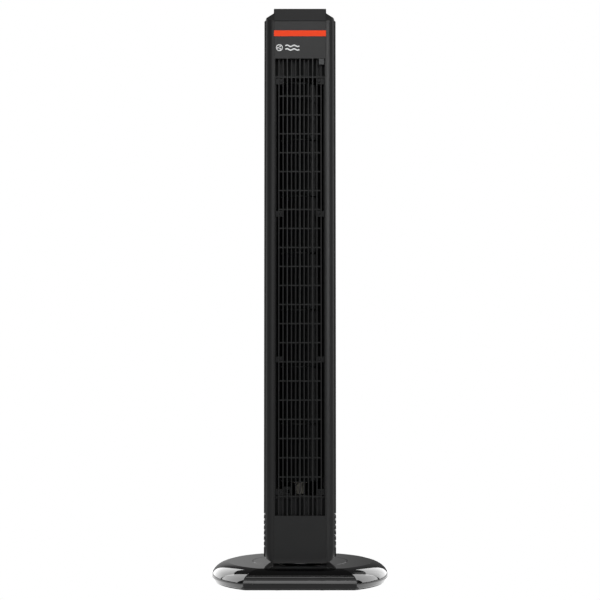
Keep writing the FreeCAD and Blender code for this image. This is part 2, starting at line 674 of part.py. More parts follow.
def accent_form(extra):
    """The coloured band that wraps the fascia: its outline, grown by extra."""
    z0 = ACCENT_Z0 - extra
    z1 = ACCENT_Z0 + ACCENT_H + extra
    wide = ACCENT_HALF + extra
    outer = upright(front_plan(-ACCENT_PROUD - extra, FACET_BACK_Y + 2), z0, z1)
    inner = upright(front_plan(ACCENT_T - ACCENT_PROUD + extra, FACET_BACK_Y + 4), z0 - 1, z1 + 1)
    band = outer.cut(inner)
    return band.common(box(-wide, FRONT_Y - 5, z0, wide, FRONT_Y + 9, z1))


def fascia():
    plate = box(-FASCIA_HALF, FRONT_Y, COLUMN_Z0, FASCIA_HALF, FRONT_Y + FASCIA_T, HEAD_FRONT_Z - 0.1)
    long_edges = [e for e in plate.Edges if e.Length > TOTAL_H / 2 and e.BoundBox.YMax < FRONT_Y + 0.01]
    plate = plate.makeFillet(0.5, long_edges)
    plate = plate.cut(box(-OPEN_HALF, FRONT_Y - 1, OPEN_Z0, OPEN_HALF, FRONT_Y + 9, OPEN_Z1))
    bars = []
    for i in (-1, 0, 1):
        x = i * BAR_PITCH
        bar = box(x - BAR_W / 2, FRONT_Y + 0.15, OPEN_Z0 - 0.5,
                  x + BAR_W / 2, FRONT_Y + BAR_DEPTH, OPEN_Z1 + 0.5)
        front_edges = [e for e in bar.Edges if e.Length > 100 and e.BoundBox.YMax < FRONT_Y + 0.2]
        bars.append(bar.makeFillet(0.5, front_edges))
    rails = [box(-OPEN_HALF + GAP, FRONT_Y + 1, z0, OPEN_HALF - GAP, FRONT_Y + BAR_DEPTH, z1)
             for z0, z1 in ((OPEN_Z0 - RAIL_H, OPEN_Z0), (OPEN_Z1, OPEN_Z1 + RAIL_H))]
    return fuse([plate] + bars + rails).cut(accent_form(ACCENT_FIT))


def accent_band():
    return accent_form(0)


def guard_grid():
    y0 = GUARD_Y0
    last_fin = MID_FINS * FIN_PITCH
    fins = []
    for k in range(-MID_FINS, MID_FINS + 1):
        x = k * FIN_PITCH
        fins.append(box(x - FIN_W / 2, y0, OPEN_Z0 + 0.3, x + FIN_W / 2, y0 + FIN_DEPTH, OPEN_Z1 - 0.3))
    rungs = []
    edge = last_fin + FIN_W / 2
    for k in range(RUNG_COUNT):
        z = RUNG_TOP_Z - k * RUNG_PITCH
        rungs.append(box(-edge, y0 + 0.4, z - RUNG_H / 2, edge, y0 + 0.4 + RUNG_DEPTH, z + RUNG_H / 2))
    tabs = []
    holes = []
    tab_y = y0 + FIN_DEPTH
    for side in (-1, 1):
        for z in GUARD_SCREW_Z:
            x = side * GUARD_SCREW_X
            tabs.append(box(x - 4.6, tab_y - 1.8, z - 5, x + 4.6, tab_y, z + 5))
            holes.append(rod_y(1.7, tab_y - 5, tab_y + 5, x, z))
    return fuse(fins + rungs + tabs).cut(Part.makeCompound(holes))


def guard_screws():
    made = turned(screw(1.5, 8.0, 2.45, 1.9), 90, axis=V(1, 0, 0))
    y = GUARD_Y0 + FIN_DEPTH - 1.85
    return Part.makeCompound([moved(made, side * GUARD_SCREW_X, y, z)
                              for side in (-1, 1) for z in GUARD_SCREW_Z])


def end_panel(z0, z1):
    """A fluted blank behind the outlet's first or last row."""
    y0 = GUARD_Y0 + FIN_DEPTH + GAP
    half = OPEN_HALF + 1.0
    block = box(-half, y0, z0, half, y0 + FLUTED_T, z1)
    flute_y = y0 + FLUTE_DEPTH - FLUTE_R
    return cut(block, [rod(FLUTE_R, z0 - 1, z1 + 1, i * BAR_PITCH, flute_y) for i in (-1.5, -0.5, 0.5, 1.5)])


def lower_end_panel():
    return end_panel(OPEN_Z0 - 3.0, LOWER_PLATE_Z - GAP)


def upper_end_panel():
    return end_panel(UPPER_PLATE_Z + PLATE_T + GAP, OPEN_Z1 + 3.0)


def sensor_window():
    x0, x1, z0, z1 = SENSOR
    window = box(x0, FRONT_Y + 0.3, z0, x1, FRONT_Y + 2.3, z1)
    front = [e for e in window.Edges if e.BoundBox.YMax < FRONT_Y + 0.31]
    window = window.makeFillet(0.6, front)
    holder = box(x0 + 0.8, FRONT_Y + 2.2, z0 + 0.8, x1 - 0.8, FRONT_Y + BAR_DEPTH - 0.1, z1 - 0.2)
    pocket = box(x0 + 2.0, FRONT_Y + 3.4, z0 + 2.0, x1 - 2.0, FRONT_Y + BAR_DEPTH + 1, z1 - 2.4)
    return fuse([window, holder]).cut(pocket)


def sensor_receiver():
    x0, x1, z0, z1 = SENSOR
    return box(x0 + 2.2, FRONT_Y + 3.6, z0 + 2.2, x1 - 2.2, FRONT_Y + BAR_DEPTH + 0.2, z1 - 2.6)


# ---- head ----
def slope_rise():
    return (TOTAL_H - HEAD_FRONT_Z) / (RIDGE_Y - FRONT_Y)


def on_slope(shape):
    """Lays a shape made on the XY plane onto the sloping face of the head, from its front edge."""
    tilted = turned(shape, math.degrees(math.atan(slope_rise())), axis=V(1, 0, 0))
    return moved(tilted, 0, FRONT_Y, HEAD_FRONT_Z)


def lens_bed(extra, back_extra):
    """Room for the sloping lens, grown by extra at its sides and underneath."""
    rise = slope_rise()
    drop = (DECK_T + extra) * math.hypot(1, rise)
    y1 = RIDGE_Y + back_extra
    points = [(FRONT_Y, HEAD_FRONT_Z), (FRONT_Y, TOTAL_H + 1), (y1, TOTAL_H + 1),
              (y1, TOTAL_H - drop + rise * back_extra), (FRONT_Y, HEAD_FRONT_Z - drop)]
    return prism_x(points, FASCIA_HALF + extra)


def display_lens():
    rise = slope_rise()
    drop = DECK_T * math.hypot(1, rise)
    y_back = RIDGE_Y - 0.1
    y_step = FRONT_Y + FASCIA_T + GAP
    z_back = HEAD_FRONT_Z + rise * (y_back - FRONT_Y)
    z_step = HEAD_FRONT_Z + rise * (y_step - FRONT_Y)
    points = [(FRONT_Y, HEAD_FRONT_Z), (y_back, z_back), (y_back, z_back - drop), (y_step, z_step - drop),
              (y_step, HEAD_FRONT_Z)]
    return prism_x(points, FASCIA_HALF)


def control_deck():
    plate = box(-FASCIA_HALF, RIDGE_Y, DECK_Z, FASCIA_HALF, ROOF_BACK_Y, TOTAL_H)
    holes = [rounded_box(x - BUTTON_W / 2 - RUN, BUTTON_Y - BUTTON_D / 2 - RUN, DECK_Z - 1,
                         x + BUTTON_W / 2 + RUN, BUTTON_Y + BUTTON_D / 2 + RUN, TOTAL_H + 1, 2.3)
             for x in BUTTON_X]
    rail = box(-FASCIA_HALF + 1.5, RIDGE_Y + 2, DECK_Z - 2.4, FASCIA_HALF - 1.5, RIDGE_Y + 4.4, DECK_Z + 0.5)
    posts = [rod(1.9, BOARD_Z + BOARD_T + 0.05, DECK_Z + 0.5, x, y) for x, y in board_posts()]
    return cut(fuse([plate, rail] + posts), holes)


def board_posts():
    return [(x, y) for x in (-41.2, 41.2) for y in (4.0, 22.0)]


def button(x):
    top = TOTAL_H + BUTTON_PROUD
    cap = rounded_box(x - BUTTON_W / 2, BUTTON_Y - BUTTON_D / 2, DECK_Z - 1.0, x + BUTTON_W / 2,
                      BUTTON_Y + BUTTON_D / 2, top, 2.0)
    rim = [e for e in cap.Edges if e.BoundBox.ZMin > top - 0.01]
    cap = cap.makeFillet(0.6, rim)
    flange = box(x - BUTTON_W / 2 - 1.2, BUTTON_Y - BUTTON_D / 2 - 1.2, DECK_Z - 2.2,
                 x + BUTTON_W / 2 + 1.2, BUTTON_Y + BUTTON_D / 2 + 1.2, DECK_Z - 0.2)
    switch_top = BOARD_Z + BOARD_T + SWITCH_H
    stem = rod(1.8, switch_top + BUTTON_TRAVEL + 0.15, DECK_Z - 2, x, BUTTON_Y)
    return fuse([cap, flange, stem])


def control_board():
    board = box(-43.5, RIDGE_Y + 5, BOARD_Z, 43.5, ROOF_BACK_Y - 2, BOARD_Z + BOARD_T)
    return cut(board, [rod(0.8, 0, TOTAL_H, x, y) for x, y in board_posts()])


def tact_switches():
    z0 = BOARD_Z + BOARD_T + 0.02
    made = []
    for x in BUTTON_X:
        base = box(x - 3, BUTTON_Y - 3, z0, x + 3, BUTTON_Y + 3, z0 + 2.4)
        made.append(fuse([base, rod(1.7, z0 + 2, z0 + SWITCH_H - 0.1, x, BUTTON_Y)]))
    return Part.makeCompound(made)


def display_module():
    """Light box and board behind the lens, lying along the slope."""
    light_box = box(-30, 12, -11, 30, 40, -DECK_T - 0.4)
    board = box(-36, 8, -12.6, 36, 46, -10.9)
    return on_slope(fuse([board, light_box]))


# ---- column: rear ----
def side_vents(z):
    """One horizontal vent slot in each straight side."""
    z0, z1 = z - SLOT_H / 2, z + SLOT_H / 2
    return [box(-SHELL_R - 5, SEAM_Y - 1, z0, -SHELL_IN + 0.2, 16, z1),
            box(SHELL_IN - 0.2, SEAM_Y - 1, z0, SHELL_R + 5, 16, z1)]


def window_z():
    top = SLOT_TOP_Z + SLOT_PITCH / 2 + 0.4
    bottom = SLOT_TOP_Z - (SLOT_COUNT - 1) * SLOT_PITCH - SLOT_PITCH / 2 - 0.4
    return bottom, top


def rear_shell():
    top = TOTAL_H + 10
    outer = clip(upright(rear_plan(0, SEAM_Y + GAP), 0, top), 0.0)
    inner = clip(upright(rear_plan(WALL, SEAM_Y - 20), 0, top), WALL)
    shell = outer.cut(inner)
    z0, z1 = window_z()
    posts = [box(side * (SHELL_IN - 1.0) - 1.6, SEAM_Y + GAP, COLUMN_Z0 + 11, side * (SHELL_IN - 1.0) + 1.6,
                 SEAM_Y + 4.5, CLIP_TOP[1] - 8) for side in (-1, 1)]
    vent_posts = [box(side * (SHELL_IN - 1.0) - 1.6, y, 58, side * (SHELL_IN - 1.0) + 1.6, y + 2.4, 126)
                  for side in (-1, 1) for y in (-18.0, -3.0)]
    shell = fuse([shell] + posts + vent_posts)
    cuts = [left_wall(SHELL_R + 1, SHELL_IN - 0.2, PANEL_FRONT_Y - GAP, PANEL_LEFT, z0, z1)]
    cuts.append(ring_sector(SHELL_R + 1, SHELL_IN - 0.2, MULLION, PANEL_MID, z0, z1))
    cuts.append(ring_sector(SHELL_R + 1, SHELL_IN - 0.2, PANEL_RIGHT, -MULLION, z0, z1))
    for k in range(VENT_COUNT):
        z = VENT_TOP_Z - k * SLOT_PITCH
        cuts += side_vents(z)
        cuts.append(ring_sector(SHELL_R + 1, SHELL_IN - 0.5, 8, 50, z - SLOT_H / 2, z + SLOT_H / 2))
        cuts.append(ring_sector(SHELL_R + 1, SHELL_IN - 0.5, -50, -8, z - SLOT_H / 2, z + SLOT_H / 2))
    cuts.append(rod(HUB_R - 0.5, 0, 60))
    cuts.append(rod(4.2, 0, 60, 0, CENTRES))
    cuts += [rod(2.2, 0, 60, x, y) for x, y in foot_screw_places()]
    cuts.append(handle_pocket(GAP, 6.0))
    cuts += rear_screw_holes(1.7, 3.4)
    top = TOTAL_H + 5
    bed = box(-FASCIA_HALF - GAP, RIDGE_Y - 1, DECK_Z - GAP, FASCIA_HALF + GAP, ROOF_BACK_Y + GAP, top)
    well = box(-FASCIA_HALF + 1, RIDGE_Y - 30, BOARD_Z - 6, FASCIA_HALF - 1, ROOF_BACK_Y - 1.2, top)
    cuts += [bed, well, lens_bed(GAP, 0.5)]
    return largest(cut(shell, cuts))


def slotted(skin, slot):
    """Cuts the intake's column of slots through a skin; slot is the lowest one, standing on z = 0."""
    levels = [SLOT_TOP_Z - k * SLOT_PITCH - SLOT_H / 2 for k in range(SLOT_COUNT)]
    return cut(skin, [moved(slot, z=low) for low in levels])


def panel_span():
    z0, z1 = window_z()
    return z0 + GAP, z1 - GAP


def inner_ribs(angles, z0, z1):
    return [ring_sector(SHELL_IN + 0.3, SHELL_IN - INNER_RIB, a - 1.0, a + 1.0, z0, z1) for a in angles]


def left_intake_grille():
    z0, z1 = panel_span()
    skin = left_wall(SHELL_R, SHELL_IN, PANEL_FRONT_Y, PANEL_LEFT + PANEL_FIT, z0, z1, GRILLE_TUCK)
    slot = left_wall(SHELL_R + 2, SHELL_IN - 0.5, PANEL_FRONT_Y - 1, PANEL_LEFT + GRILLE_FRAME, 0, SLOT_H)
    ribs = [box(-SHELL_IN - 0.3, y, z0, -SHELL_IN + INNER_RIB, y + 2.2, z1)
            for y in (PANEL_FRONT_Y + 4.6, -16.0)]
    return fuse([slotted(skin, slot)] + ribs + inner_ribs((88.0, 74.0, PANEL_LEFT + 2.0), z0, z1))


def rear_intake_grille(a0, a1):
    z0, z1 = panel_span()
    skin = ring_sector(SHELL_R, SHELL_IN, a0 + PANEL_FIT, a1 - PANEL_FIT, z0, z1, 8)
    slot = ring_sector(SHELL_R + 2, SHELL_IN - 0.5, a0 + GRILLE_FRAME, a1 - GRILLE_FRAME, 0, SLOT_H)
    step = (a1 - a0 - 3.6) / 4
    ribs = inner_ribs([a0 + 1.8 + step * i for i in range(5)], z0, z1)
    return slotted(skin, slot).multiFuse(ribs)


def handle_pocket(extra, corner):
    """The pocket's form, grown by extra, open towards the back."""
    pocket = box(-HANDLE_HALF - extra, HANDLE_Y0 - extra, HANDLE_Z0 - extra,
                 HANDLE_HALF + extra, BEYOND, HANDLE_Z1 + extra)
    along = [e for e in pocket.Edges if abs(e.tangentAt(e.FirstParameter).y) > 0.99]
    return pocket.makeFillet(corner, along)


def handle_cup():
    body = handle_pocket(0, 6.0)
    body = body.common(rod(SHELL_R - 0.1, HANDLE_Z0 - 5, HANDLE_Z1 + 5, 0, SHELL_CY))
    return body.cut(handle_pocket(-2.2, 4.0))


def radial(shape, degrees, z):
    """Lays a shape made along +Y from the back's centre out at an angle round the back."""
    placed = moved(shape, 0, SHELL_CY, z)
    return turned(placed, degrees, V(0, SHELL_CY, 0))


def rear_screw_holes(shank_r, head_r):
    holes = []
    for a, z in REAR_SCREWS:
        holes.append(radial(Part.makeCylinder(shank_r, 12, V(0, SHELL_IN - 6, 0), V(0, 1, 0)), a, z))
        holes.append(radial(Part.makeCylinder(head_r, 12, V(0, SHELL_R - 1.2, 0), V(0, 1, 0)), a, z))
    return holes


def shell_screws():
    made = turned(screw(1.45, 9.0, 3.0, 2.0), -90, axis=V(1, 0, 0))
    made = moved(made, 0, SHELL_R - 1.15)
    return Part.makeCompound([radial(made, a, z) for a, z in REAR_SCREWS])


# ---- air path ----
def scroll_point(t, extra):
    """Scroll wall at share t of its run, from the back round the right side towards the outlet."""
    a = math.radians(62 - 92 * t)
    r = WHEEL_R + 3.0 + 9.0 * t ** 1.2 + extra
    return V(WHEEL_X + r * math.cos(a), WHEEL_Y + r * math.sin(a), 0)


def scroll_wall(z0, z1):
    steps = 6
    inner_points = [scroll_point(i / steps, 0) for i in range(steps + 1)]
    outer_points = [scroll_point(i / steps, DUCT_T) for i in range(steps + 1)]
    inner = Part.BSplineCurve()
    inner.interpolate(inner_points)
    outer = Part.BSplineCurve()
    outer.interpolate(outer_points[::-1])
    lip_in = V(OPEN_HALF - 2.0, FRONT_OF_DUCT, 0)
    lip_out = V(OPEN_HALF - 2.0 + DUCT_T, FRONT_OF_DUCT, 0)
    edges = [inner.toShape(), Part.makeLine(inner_points[-1], lip_in), Part.makeLine(lip_in, lip_out),
             Part.makeLine(lip_out, outer_points[-1]), outer.toShape(),
             Part.makeLine(outer_points[0], inner_points[0])]
    return upright(edges, z0, z1)


def tongue_wall(z0, z1):
    lip = -(OPEN_HALF - 2.0)
    r = WHEEL_R + TONGUE_CLEAR
    nose = [(WHEEL_X + r * math.cos(math.radians(a)), WHEEL_Y + r * math.sin(math.radians(a)))
            for a in (216.4, 211.7)]
    points = [(lip - DUCT_T, FRONT_OF_DUCT), (lip, FRONT_OF_DUCT)] + nose + [(lip - DUCT_T, -30.0)]
    corners = [(x, y, 0) for x, y in points]
    return upright([line(a, b) for a, b in zip(corners, corners[1:] + corners[:1])], z0, z1)


def end_plate(z0, z1):
    plan = upright(rear_plan(WALL + INNER_RIB + 0.6, FRONT_OF_DUCT + 9.0), z0, z1)
    front = box(-OPEN_HALF - 0.5, FRONT_OF_DUCT + 0.2, z0, OPEN_HALF + 0.5, FRONT_OF_DUCT + 10, z1)
    return fuse([plan, front])


def leak_wall():
    """Low half ring behind the wheel's foot, which keeps the air from slipping under the wheel."""
    r_in = WHEEL_R + LEAK_WALL
    ring = tube(r_in + LEAK_WALL, r_in, LOWER_PLATE_Z + PLATE_T - 1, WHEEL_Z0 + 5, WHEEL_X, WHEEL_Y)
    return ring.cut(box(-BEYOND, -BEYOND, 0, BEYOND, WHEEL_Y - 6, TOTAL_H))


def air_duct():
    lower = end_plate(LOWER_PLATE_Z, LOWER_PLATE_Z + PLATE_T)
    upper = end_plate(UPPER_PLATE_Z, UPPER_PLATE_Z + PLATE_T)
    z0, z1 = LOWER_PLATE_Z + 1, UPPER_PLATE_Z + 1
    bosses = []
    for a, z in REAR_SCREWS:
        below = z < LOWER_PLATE_Z
        low = z - 5 if below else UPPER_PLATE_Z + 1
        high = LOWER_PLATE_Z + 1 if below else z + 5
        bosses.append(radial(box(-5, BOSS_OUT - 12, 0, 5, BOSS_OUT - 4.4, high - low), a, low))
        bosses.append(radial(box(-5, BOSS_OUT - 12, 0, 5, BOSS_OUT, 10), a, z - 5))
    lugs = []
    pilot = []
    lug_y = GUARD_Y0 + FIN_DEPTH + 0.1
    for side in (-1, 1):
        for z in GUARD_SCREW_Z:
            x = side * GUARD_SCREW_X
            low, high = sorted((x - side * 4.4, side * (OPEN_HALF - 0.8)))
            lugs.append(box(low, lug_y, z - 5, high, lug_y + 7.5, z + 5))
            pilot.append(rod_y(1.3 + 0.25, lug_y - 1, lug_y + 7.0, x, z))
    seat = rod(16.0, UPPER_PLATE_Z + 1, UPPER_PLATE_Z + 14, WHEEL_X, WHEEL_Y)
    clip_floor = LOWER_PLATE_Z + PLATE_T - 1
    cable_clip = box(-28, FRONT_OF_DUCT + 0.4, clip_floor, -15, FRONT_OF_DUCT + 3.0, clip_floor + 17)
    bosses.append(cut(cable_clip, [box(-25, -60, clip_floor + 6, -18, -30, clip_floor + 12)]))
    bosses.append(leak_wall())
    legs = [rod(5.0, MOTOR_Z1 + 6.0, LOWER_PLATE_Z + 1, x, y) for x, y in motor_posts()]
    duct = fuse([lower, upper, scroll_wall(z0, z1), tongue_wall(z0, z1), seat] + bosses + lugs + legs)
    holes = list(pilot)
    holes.append(rod(13.2, UPPER_PLATE_Z + 2.4, UPPER_PLATE_Z + 30, WHEEL_X, WHEEL_Y))
    holes.append(rod(6.5, UPPER_PLATE_Z - 2, UPPER_PLATE_Z + 30, WHEEL_X, WHEEL_Y))
    holes.append(rod(HUB_OUT_R + 2.0, 100, LOWER_PLATE_Z + PLATE_T + 1, WHEEL_X, WHEEL_Y))
    holes += [rod(1.5, MOTOR_Z1, MOTOR_Z1 + 20, x, y) for x, y in motor_posts()]
    for a, z in REAR_SCREWS:
        holes.append(radial(Part.makeCylinder(1.5, 12, V(0, BOSS_OUT - 9.5, 0), V(0, 1, 0)), a, z))
    return largest(cut(duct, holes))


def motor_posts():
    return [(WHEEL_X + MOTOR_POST_R * math.cos(math.radians(a)),
             WHEEL_Y + MOTOR_POST_R * math.sin(math.radians(a))) for a in (35, 145, 215, 325)]


# ---- wheel ----
def blade():
    """Outline of one forward-curved blade, seen from above."""
    def at(r, a):
        return V(r * math.cos(math.radians(a)), r * math.sin(math.radians(a)), 0)
    outer_r, inner_r = WHEEL_R - 0.1, WHEEL_IN_R + 0.4
    mid_r = (outer_r + inner_r) / 2
    t_out = math.degrees(BLADE_T / outer_r)
    t_mid = math.degrees(BLADE_T / mid_r)
    t_in = math.degrees(BLADE_T / inner_r)
    front = Part.Arc(at(inner_r, 0), at(mid_r, BLADE_MID), at(outer_r, BLADE_SWEEP)).toShape()
    back = Part.Arc(at(outer_r, BLADE_SWEEP + t_out), at(mid_r, BLADE_MID + t_mid), at(inner_r, t_in))
    return [front, Part.makeLine(at(outer_r, BLADE_SWEEP), at(outer_r, BLADE_SWEEP + t_out)),
            back.toShape(),
            Part.makeLine(at(inner_r, t_in), at(inner_r, 0))]


def impeller():
    height = WHEEL_Z1 - WHEEL_Z0
    strip = upright(blade(), WHEEL_Z0 + 0.5, WHEEL_Z1 - 0.5)
    blades = [turned(strip, 360.0 * k / BLADES) for k in range(BLADES)]
    discs = []
    for k in range(WHEEL_SEGMENTS + 1):
        z = WHEEL_Z0 + (height - DISC_T) * k / WHEEL_SEGMENTS
        solid_disc = k in (0, WHEEL_SEGMENTS)
        disc = rod(WHEEL_R, z, z + DISC_T)
        discs.append(disc if solid_disc else disc.cut(rod(WHEEL_IN_R - 2.0, z - 1, z + DISC_T + 1)))
    whole = fuse(discs + blades)
    holes = [rod(SHAFT_R + SHAFT_CLEAR, 0, WHEEL_Z0 + 20), rod(SHAFT_R + SHAFT_CLEAR, WHEEL_Z1 - 10, 2000)]
    return moved(cut(whole, holes), WHEEL_X, WHEEL_Y)


def lower_hub():
    z0, z1 = WHEEL_Z0 - 22.0, WHEEL_Z0 - 0.05
    body = fuse([rod(HUB_OUT_R, z0, z1), rod(16.0, z1 - 3.0, z1)])
    hole = Part.makeCylinder(1.55, 20, V(0, 0, WHEEL_Z0 - 7.5), HUB_SCREW_DIR)
    made = cut(body, [rod(SHAFT_R + SHAFT_CLEAR, 0, 400), hole])
    return moved(made, WHEEL_X, WHEEL_Y)


def hub_screw():
    middle = V(0, 0, WHEEL_Z0 - 7.5)
    body = Part.makeCylinder(1.5, 7.0, middle + HUB_SCREW_DIR * (SHAFT_R + 0.3), HUB_SCREW_DIR)
    head = Part.makeCylinder(2.6, 2.0, middle + HUB_SCREW_DIR * (HUB_OUT_R + 0.05), HUB_SCREW_DIR)
    return moved(fuse([body, head]), WHEEL_X, WHEEL_Y)


def top_spindle():
    body = fuse([rod(SHAFT_R, WHEEL_Z1 - DISC_T - 8.0, UPPER_PLATE_Z + 12.0),
                 rod(9.0, WHEEL_Z1 - DISC_T - 3.0, WHEEL_Z1 - DISC_T - 0.05)])
    return moved(body, WHEEL_X, WHEEL_Y)


def bearing_bush():
    body = tube(7.5, SHAFT_R + SHAFT_CLEAR, UPPER_PLATE_Z + 2.8, UPPER_PLATE_Z + 11.0)
    return moved(body, WHEEL_X, WHEEL_Y)


def bearing_rubber():
    z0 = UPPER_PLATE_Z + 2.45
    body = tube(13.1, 7.55, z0, z0 + 9.5)
    return moved(body, WHEEL_X, WHEEL_Y)


# ---- main motor ----
def motor_housing():
    body = rod(MOTOR_R, MOTOR_Z0, MOTOR_Z1)
    rims = [e for e in body.Edges if e.BoundBox.ZLength < 0.01]
    body = body.makeFillet(3.0, rims)
    inner = rod(MOTOR_R - 2.0, MOTOR_Z0 + 2.5, MOTOR_Z1 - 2.5)
    neck = rod(8.0, MOTOR_Z1 - 1, MOTOR_Z1 + 4)
    body = fuse([body.cut(inner), neck])
    slots = []
    for k in range(12):
        slot = box(MOTOR_R - 14, -1.5, MOTOR_Z1 - 4, MOTOR_R - 6, 1.5, MOTOR_Z1 + 2)
        slots.append(turned(slot, 30 * k))
    made = cut(body, slots + [rod(SHAFT_R + SHAFT_CLEAR, 0, 400)])
    return moved(made, WHEEL_X, WHEEL_Y)


def motor_stator():
    z0, z1 = MOTOR_Z0 + 10, MOTOR_Z1 - 10
    core = tube(MOTOR_R - 2.05, MOTOR_R - 17.0, z0, z1)
    return moved(cut(core, coil_set(0.1)), WHEEL_X, WHEEL_Y)


def coil_set(extra):
    coil = rounded_box(MOTOR_R - 15.0 - extra, -6.5 - extra, MOTOR_Z0 + 5.0,
                       MOTOR_R - 7.0 + extra, 6.5 + extra, MOTOR_Z1 - 5.0, 2.0 + extra)
    return [turned(coil, 60 * k) for k in range(6)]


def motor_windings():
    return moved(Part.makeCompound(coil_set(0)), WHEEL_X, WHEEL_Y)


def motor_rotor():
    z0, z1 = MOTOR_Z0 + 9, MOTOR_Z1 - 9
    return moved(tube(MOTOR_R - 17.5, SHAFT_R + SHAFT_CLEAR, z0, z1), WHEEL_X, WHEEL_Y)


def motor_shaft():
    return moved(rod(SHAFT_R, MOTOR_Z0 + 1.0, WHEEL_Z0 + DISC_T + 4.0), WHEEL_X, WHEEL_Y)


def motor_plate():
    z0 = MOTOR_Z1 + 0.05
    plate = rod(MOTOR_POST_R + 8.0, z0, z0 + 2.5, WHEEL_X, WHEEL_Y)
    holes = [rod(3.6, 0, 400, x, y) for x, y in motor_posts()]
    holes += [rod(1.8, 0, 400, x, y) for x, y in motor_screw_places()]
    holes.append(rod(9.0, 0, 400, WHEEL_X, WHEEL_Y))
    trim = upright(rear_plan(WALL + INNER_RIB + 1.0, -44.0), 0, 400)
    return cut(plate.common(trim), holes)


def motor_screw_places():
    return [(WHEEL_X + 30.0 * math.cos(math.radians(a)), WHEEL_Y + 30.0 * math.sin(math.radians(a)))
            for a in (0, 90, 180, 270)]


def motor_mounts():
    z0 = MOTOR_Z1 + 0.05
    made = []
    for x, y in motor_posts():
        waist = rod(3.5, z0 - 1.2, z0 + 3.7, x, y)
        caps = [rod(5.6, z0 + 2.55, z0 + 5.6, x, y), rod(5.6, z0 - 3.0, z0 - 0.05, x, y)]
        made.append(fuse([waist] + caps).cut(rod(1.7, 0, 400, x, y)))
    return Part.makeCompound(made)


def motor_screws():
    upward = turned(screw(1.4, 15.0, 3.4, 2.2), 180, axis=V(1, 0, 0))
    long_ones = [moved(upward, x, y, MOTOR_Z1 - 3.0) for x, y in motor_posts()]
    return Part.makeCompound(long_ones)


# ---- foot of the column ----
def foot_plate():
    z0 = COLUMN_Z0 + WALL + 0.05
    plate = rounded_box(-42, -28, z0, 42, 50, z0 + 2.5, 6)
    cheeks = [box(side * 22.2 - 1.1 + side * 1.1, -27, z0 + 1, side * 22.2 + 1.1 + side * 1.1, -15, z0 + 12)
              for side in (-1, 1)]
    plate = fuse([plate] + cheeks)
    holes = [rod(2.2, 0, 100, x, y) for x, y in foot_screw_places()]
    holes += [rod(14.0, 0, 100), rod(4.2, 0, 100, 0, CENTRES)]
    trim = upright(rear_plan(WALL + INNER_RIB, -30.0), 0, 100)
    holes += [rod(1.8, 0, 100, x, y) for x, y in swing_screw_places()]
    return cut(plate.common(trim), holes)


def swing_screw_places():
    return [(-24.5, CENTRES - 12.0), (24.5, CENTRES - 12.0)]


def foot_screws():
    made = screw(1.9, 12.0, 3.8, 2.6)
    z = COLUMN_Z0 + WALL + 0.05 + 2.5 + 0.05
    return Part.makeCompound([moved(made, x, y, z) for x, y in foot_screw_places()])


def swing_motor():
    z0 = COLUMN_Z0 + WALL + 2.6
    centre_y = CENTRES - 9.0
    can = rod(21.0, z0, z0 + 17.0, 0, centre_y)
    rim = [e for e in can.Edges if e.BoundBox.ZMin > z0 + 16.9]
    can = can.makeFillet(2.0, rim)
    ears = rounded_box(-29, CENTRES - 17.0, z0, 29, CENTRES - 7.0, z0 + 1.5, 3)
    body = fuse([can, ears])
    holes = [rod(PINION_SHAFT_R + SHAFT_CLEAR, 0, z0 + 12, 0, CENTRES)]
    holes += [rod(1.8, 0, 100, x, y) for x, y in swing_screw_places()]
    return cut(body, holes)


def swing_screws():
    made = screw(1.5, 3.6, 2.6, 1.8)
    z = COLUMN_Z0 + WALL + 2.6 + 1.55
    return Part.makeCompound([moved(made, x, y, z) for x, y in swing_screw_places()])


def pinion_shaft():
    return rod(PINION_SHAFT_R, GEAR_Z0 + 0.5, COLUMN_Z0 + WALL + 2.6 + 11.0, 0, CENTRES)


def run_capacitor():
    z0 = COLUMN_Z0 + WALL + 2.6
    return rounded_box(-22.0, -27.5, z0, 22.0, -15.0, z0 + 22.0, 2)


PARTS = {
    "base_cover": base_cover,
    "base_pan": base_pan,
    "base_screws": base_screws,
    "rubber_feet": rubber_feet,
    "ballast_plates": ballast_plates,
    "glide_ring": glide_ring,
    "cord_grommet": cord_grommet,
    "pivot_retainer": pivot_retainer,
    "retainer_screws": retainer_screws,
    "ring_gear": ring_gear,
    "turntable": turntable,
    "swing_pinion": swing_pinion,
    "pinion_shaft": pinion_shaft,
    "swing_motor": swing_motor,
    "swing_screws": swing_screws,
    "foot_plate": foot_plate,
    "foot_screws": foot_screws,
    "run_capacitor": run_capacitor,
    "power_board": power_board,
    "front_housing": front_housing,
    "fascia": fascia,
    "accent_band": accent_band,
    "guard_grid": guard_grid,
    "guard_screws": guard_screws,
    "lower_end_panel": lower_end_panel,
    "upper_end_panel": upper_end_panel,
    "sensor_window": sensor_window,
    "sensor_receiver": sensor_receiver,
    "display_lens": display_lens,
    "display_module": display_module,
    "control_deck": control_deck,
    "control_board": control_board,
    "tact_switches": tact_switches,
    "rear_shell": rear_shell,
    "left_intake_grille": left_intake_grille,
    "rear_left_intake_grille": lambda: rear_intake_grille(MULLION, PANEL_MID),
    "rear_right_intake_grille": lambda: rear_intake_grille(PANEL_RIGHT, -MULLION),
    "handle_cup": handle_cup,
    "shell_screws": shell_screws,
    "air_duct": air_duct,
    "impeller": impeller,
    "lower_hub": lower_hub,
    "hub_screw": hub_screw,
    "top_spindle": top_spindle,
    "bearing_bush": bearing_bush,
    "bearing_rubber": bearing_rubber,
    "motor_housing": motor_housing,
    "motor_stator": motor_stator,
    "motor_windings": motor_windings,
    "motor_rotor": motor_rotor,
    "motor_shaft": motor_shaft,
    "motor_plate": motor_plate,
    "motor_mounts": motor_mounts,
    "motor_screws": motor_screws,
}
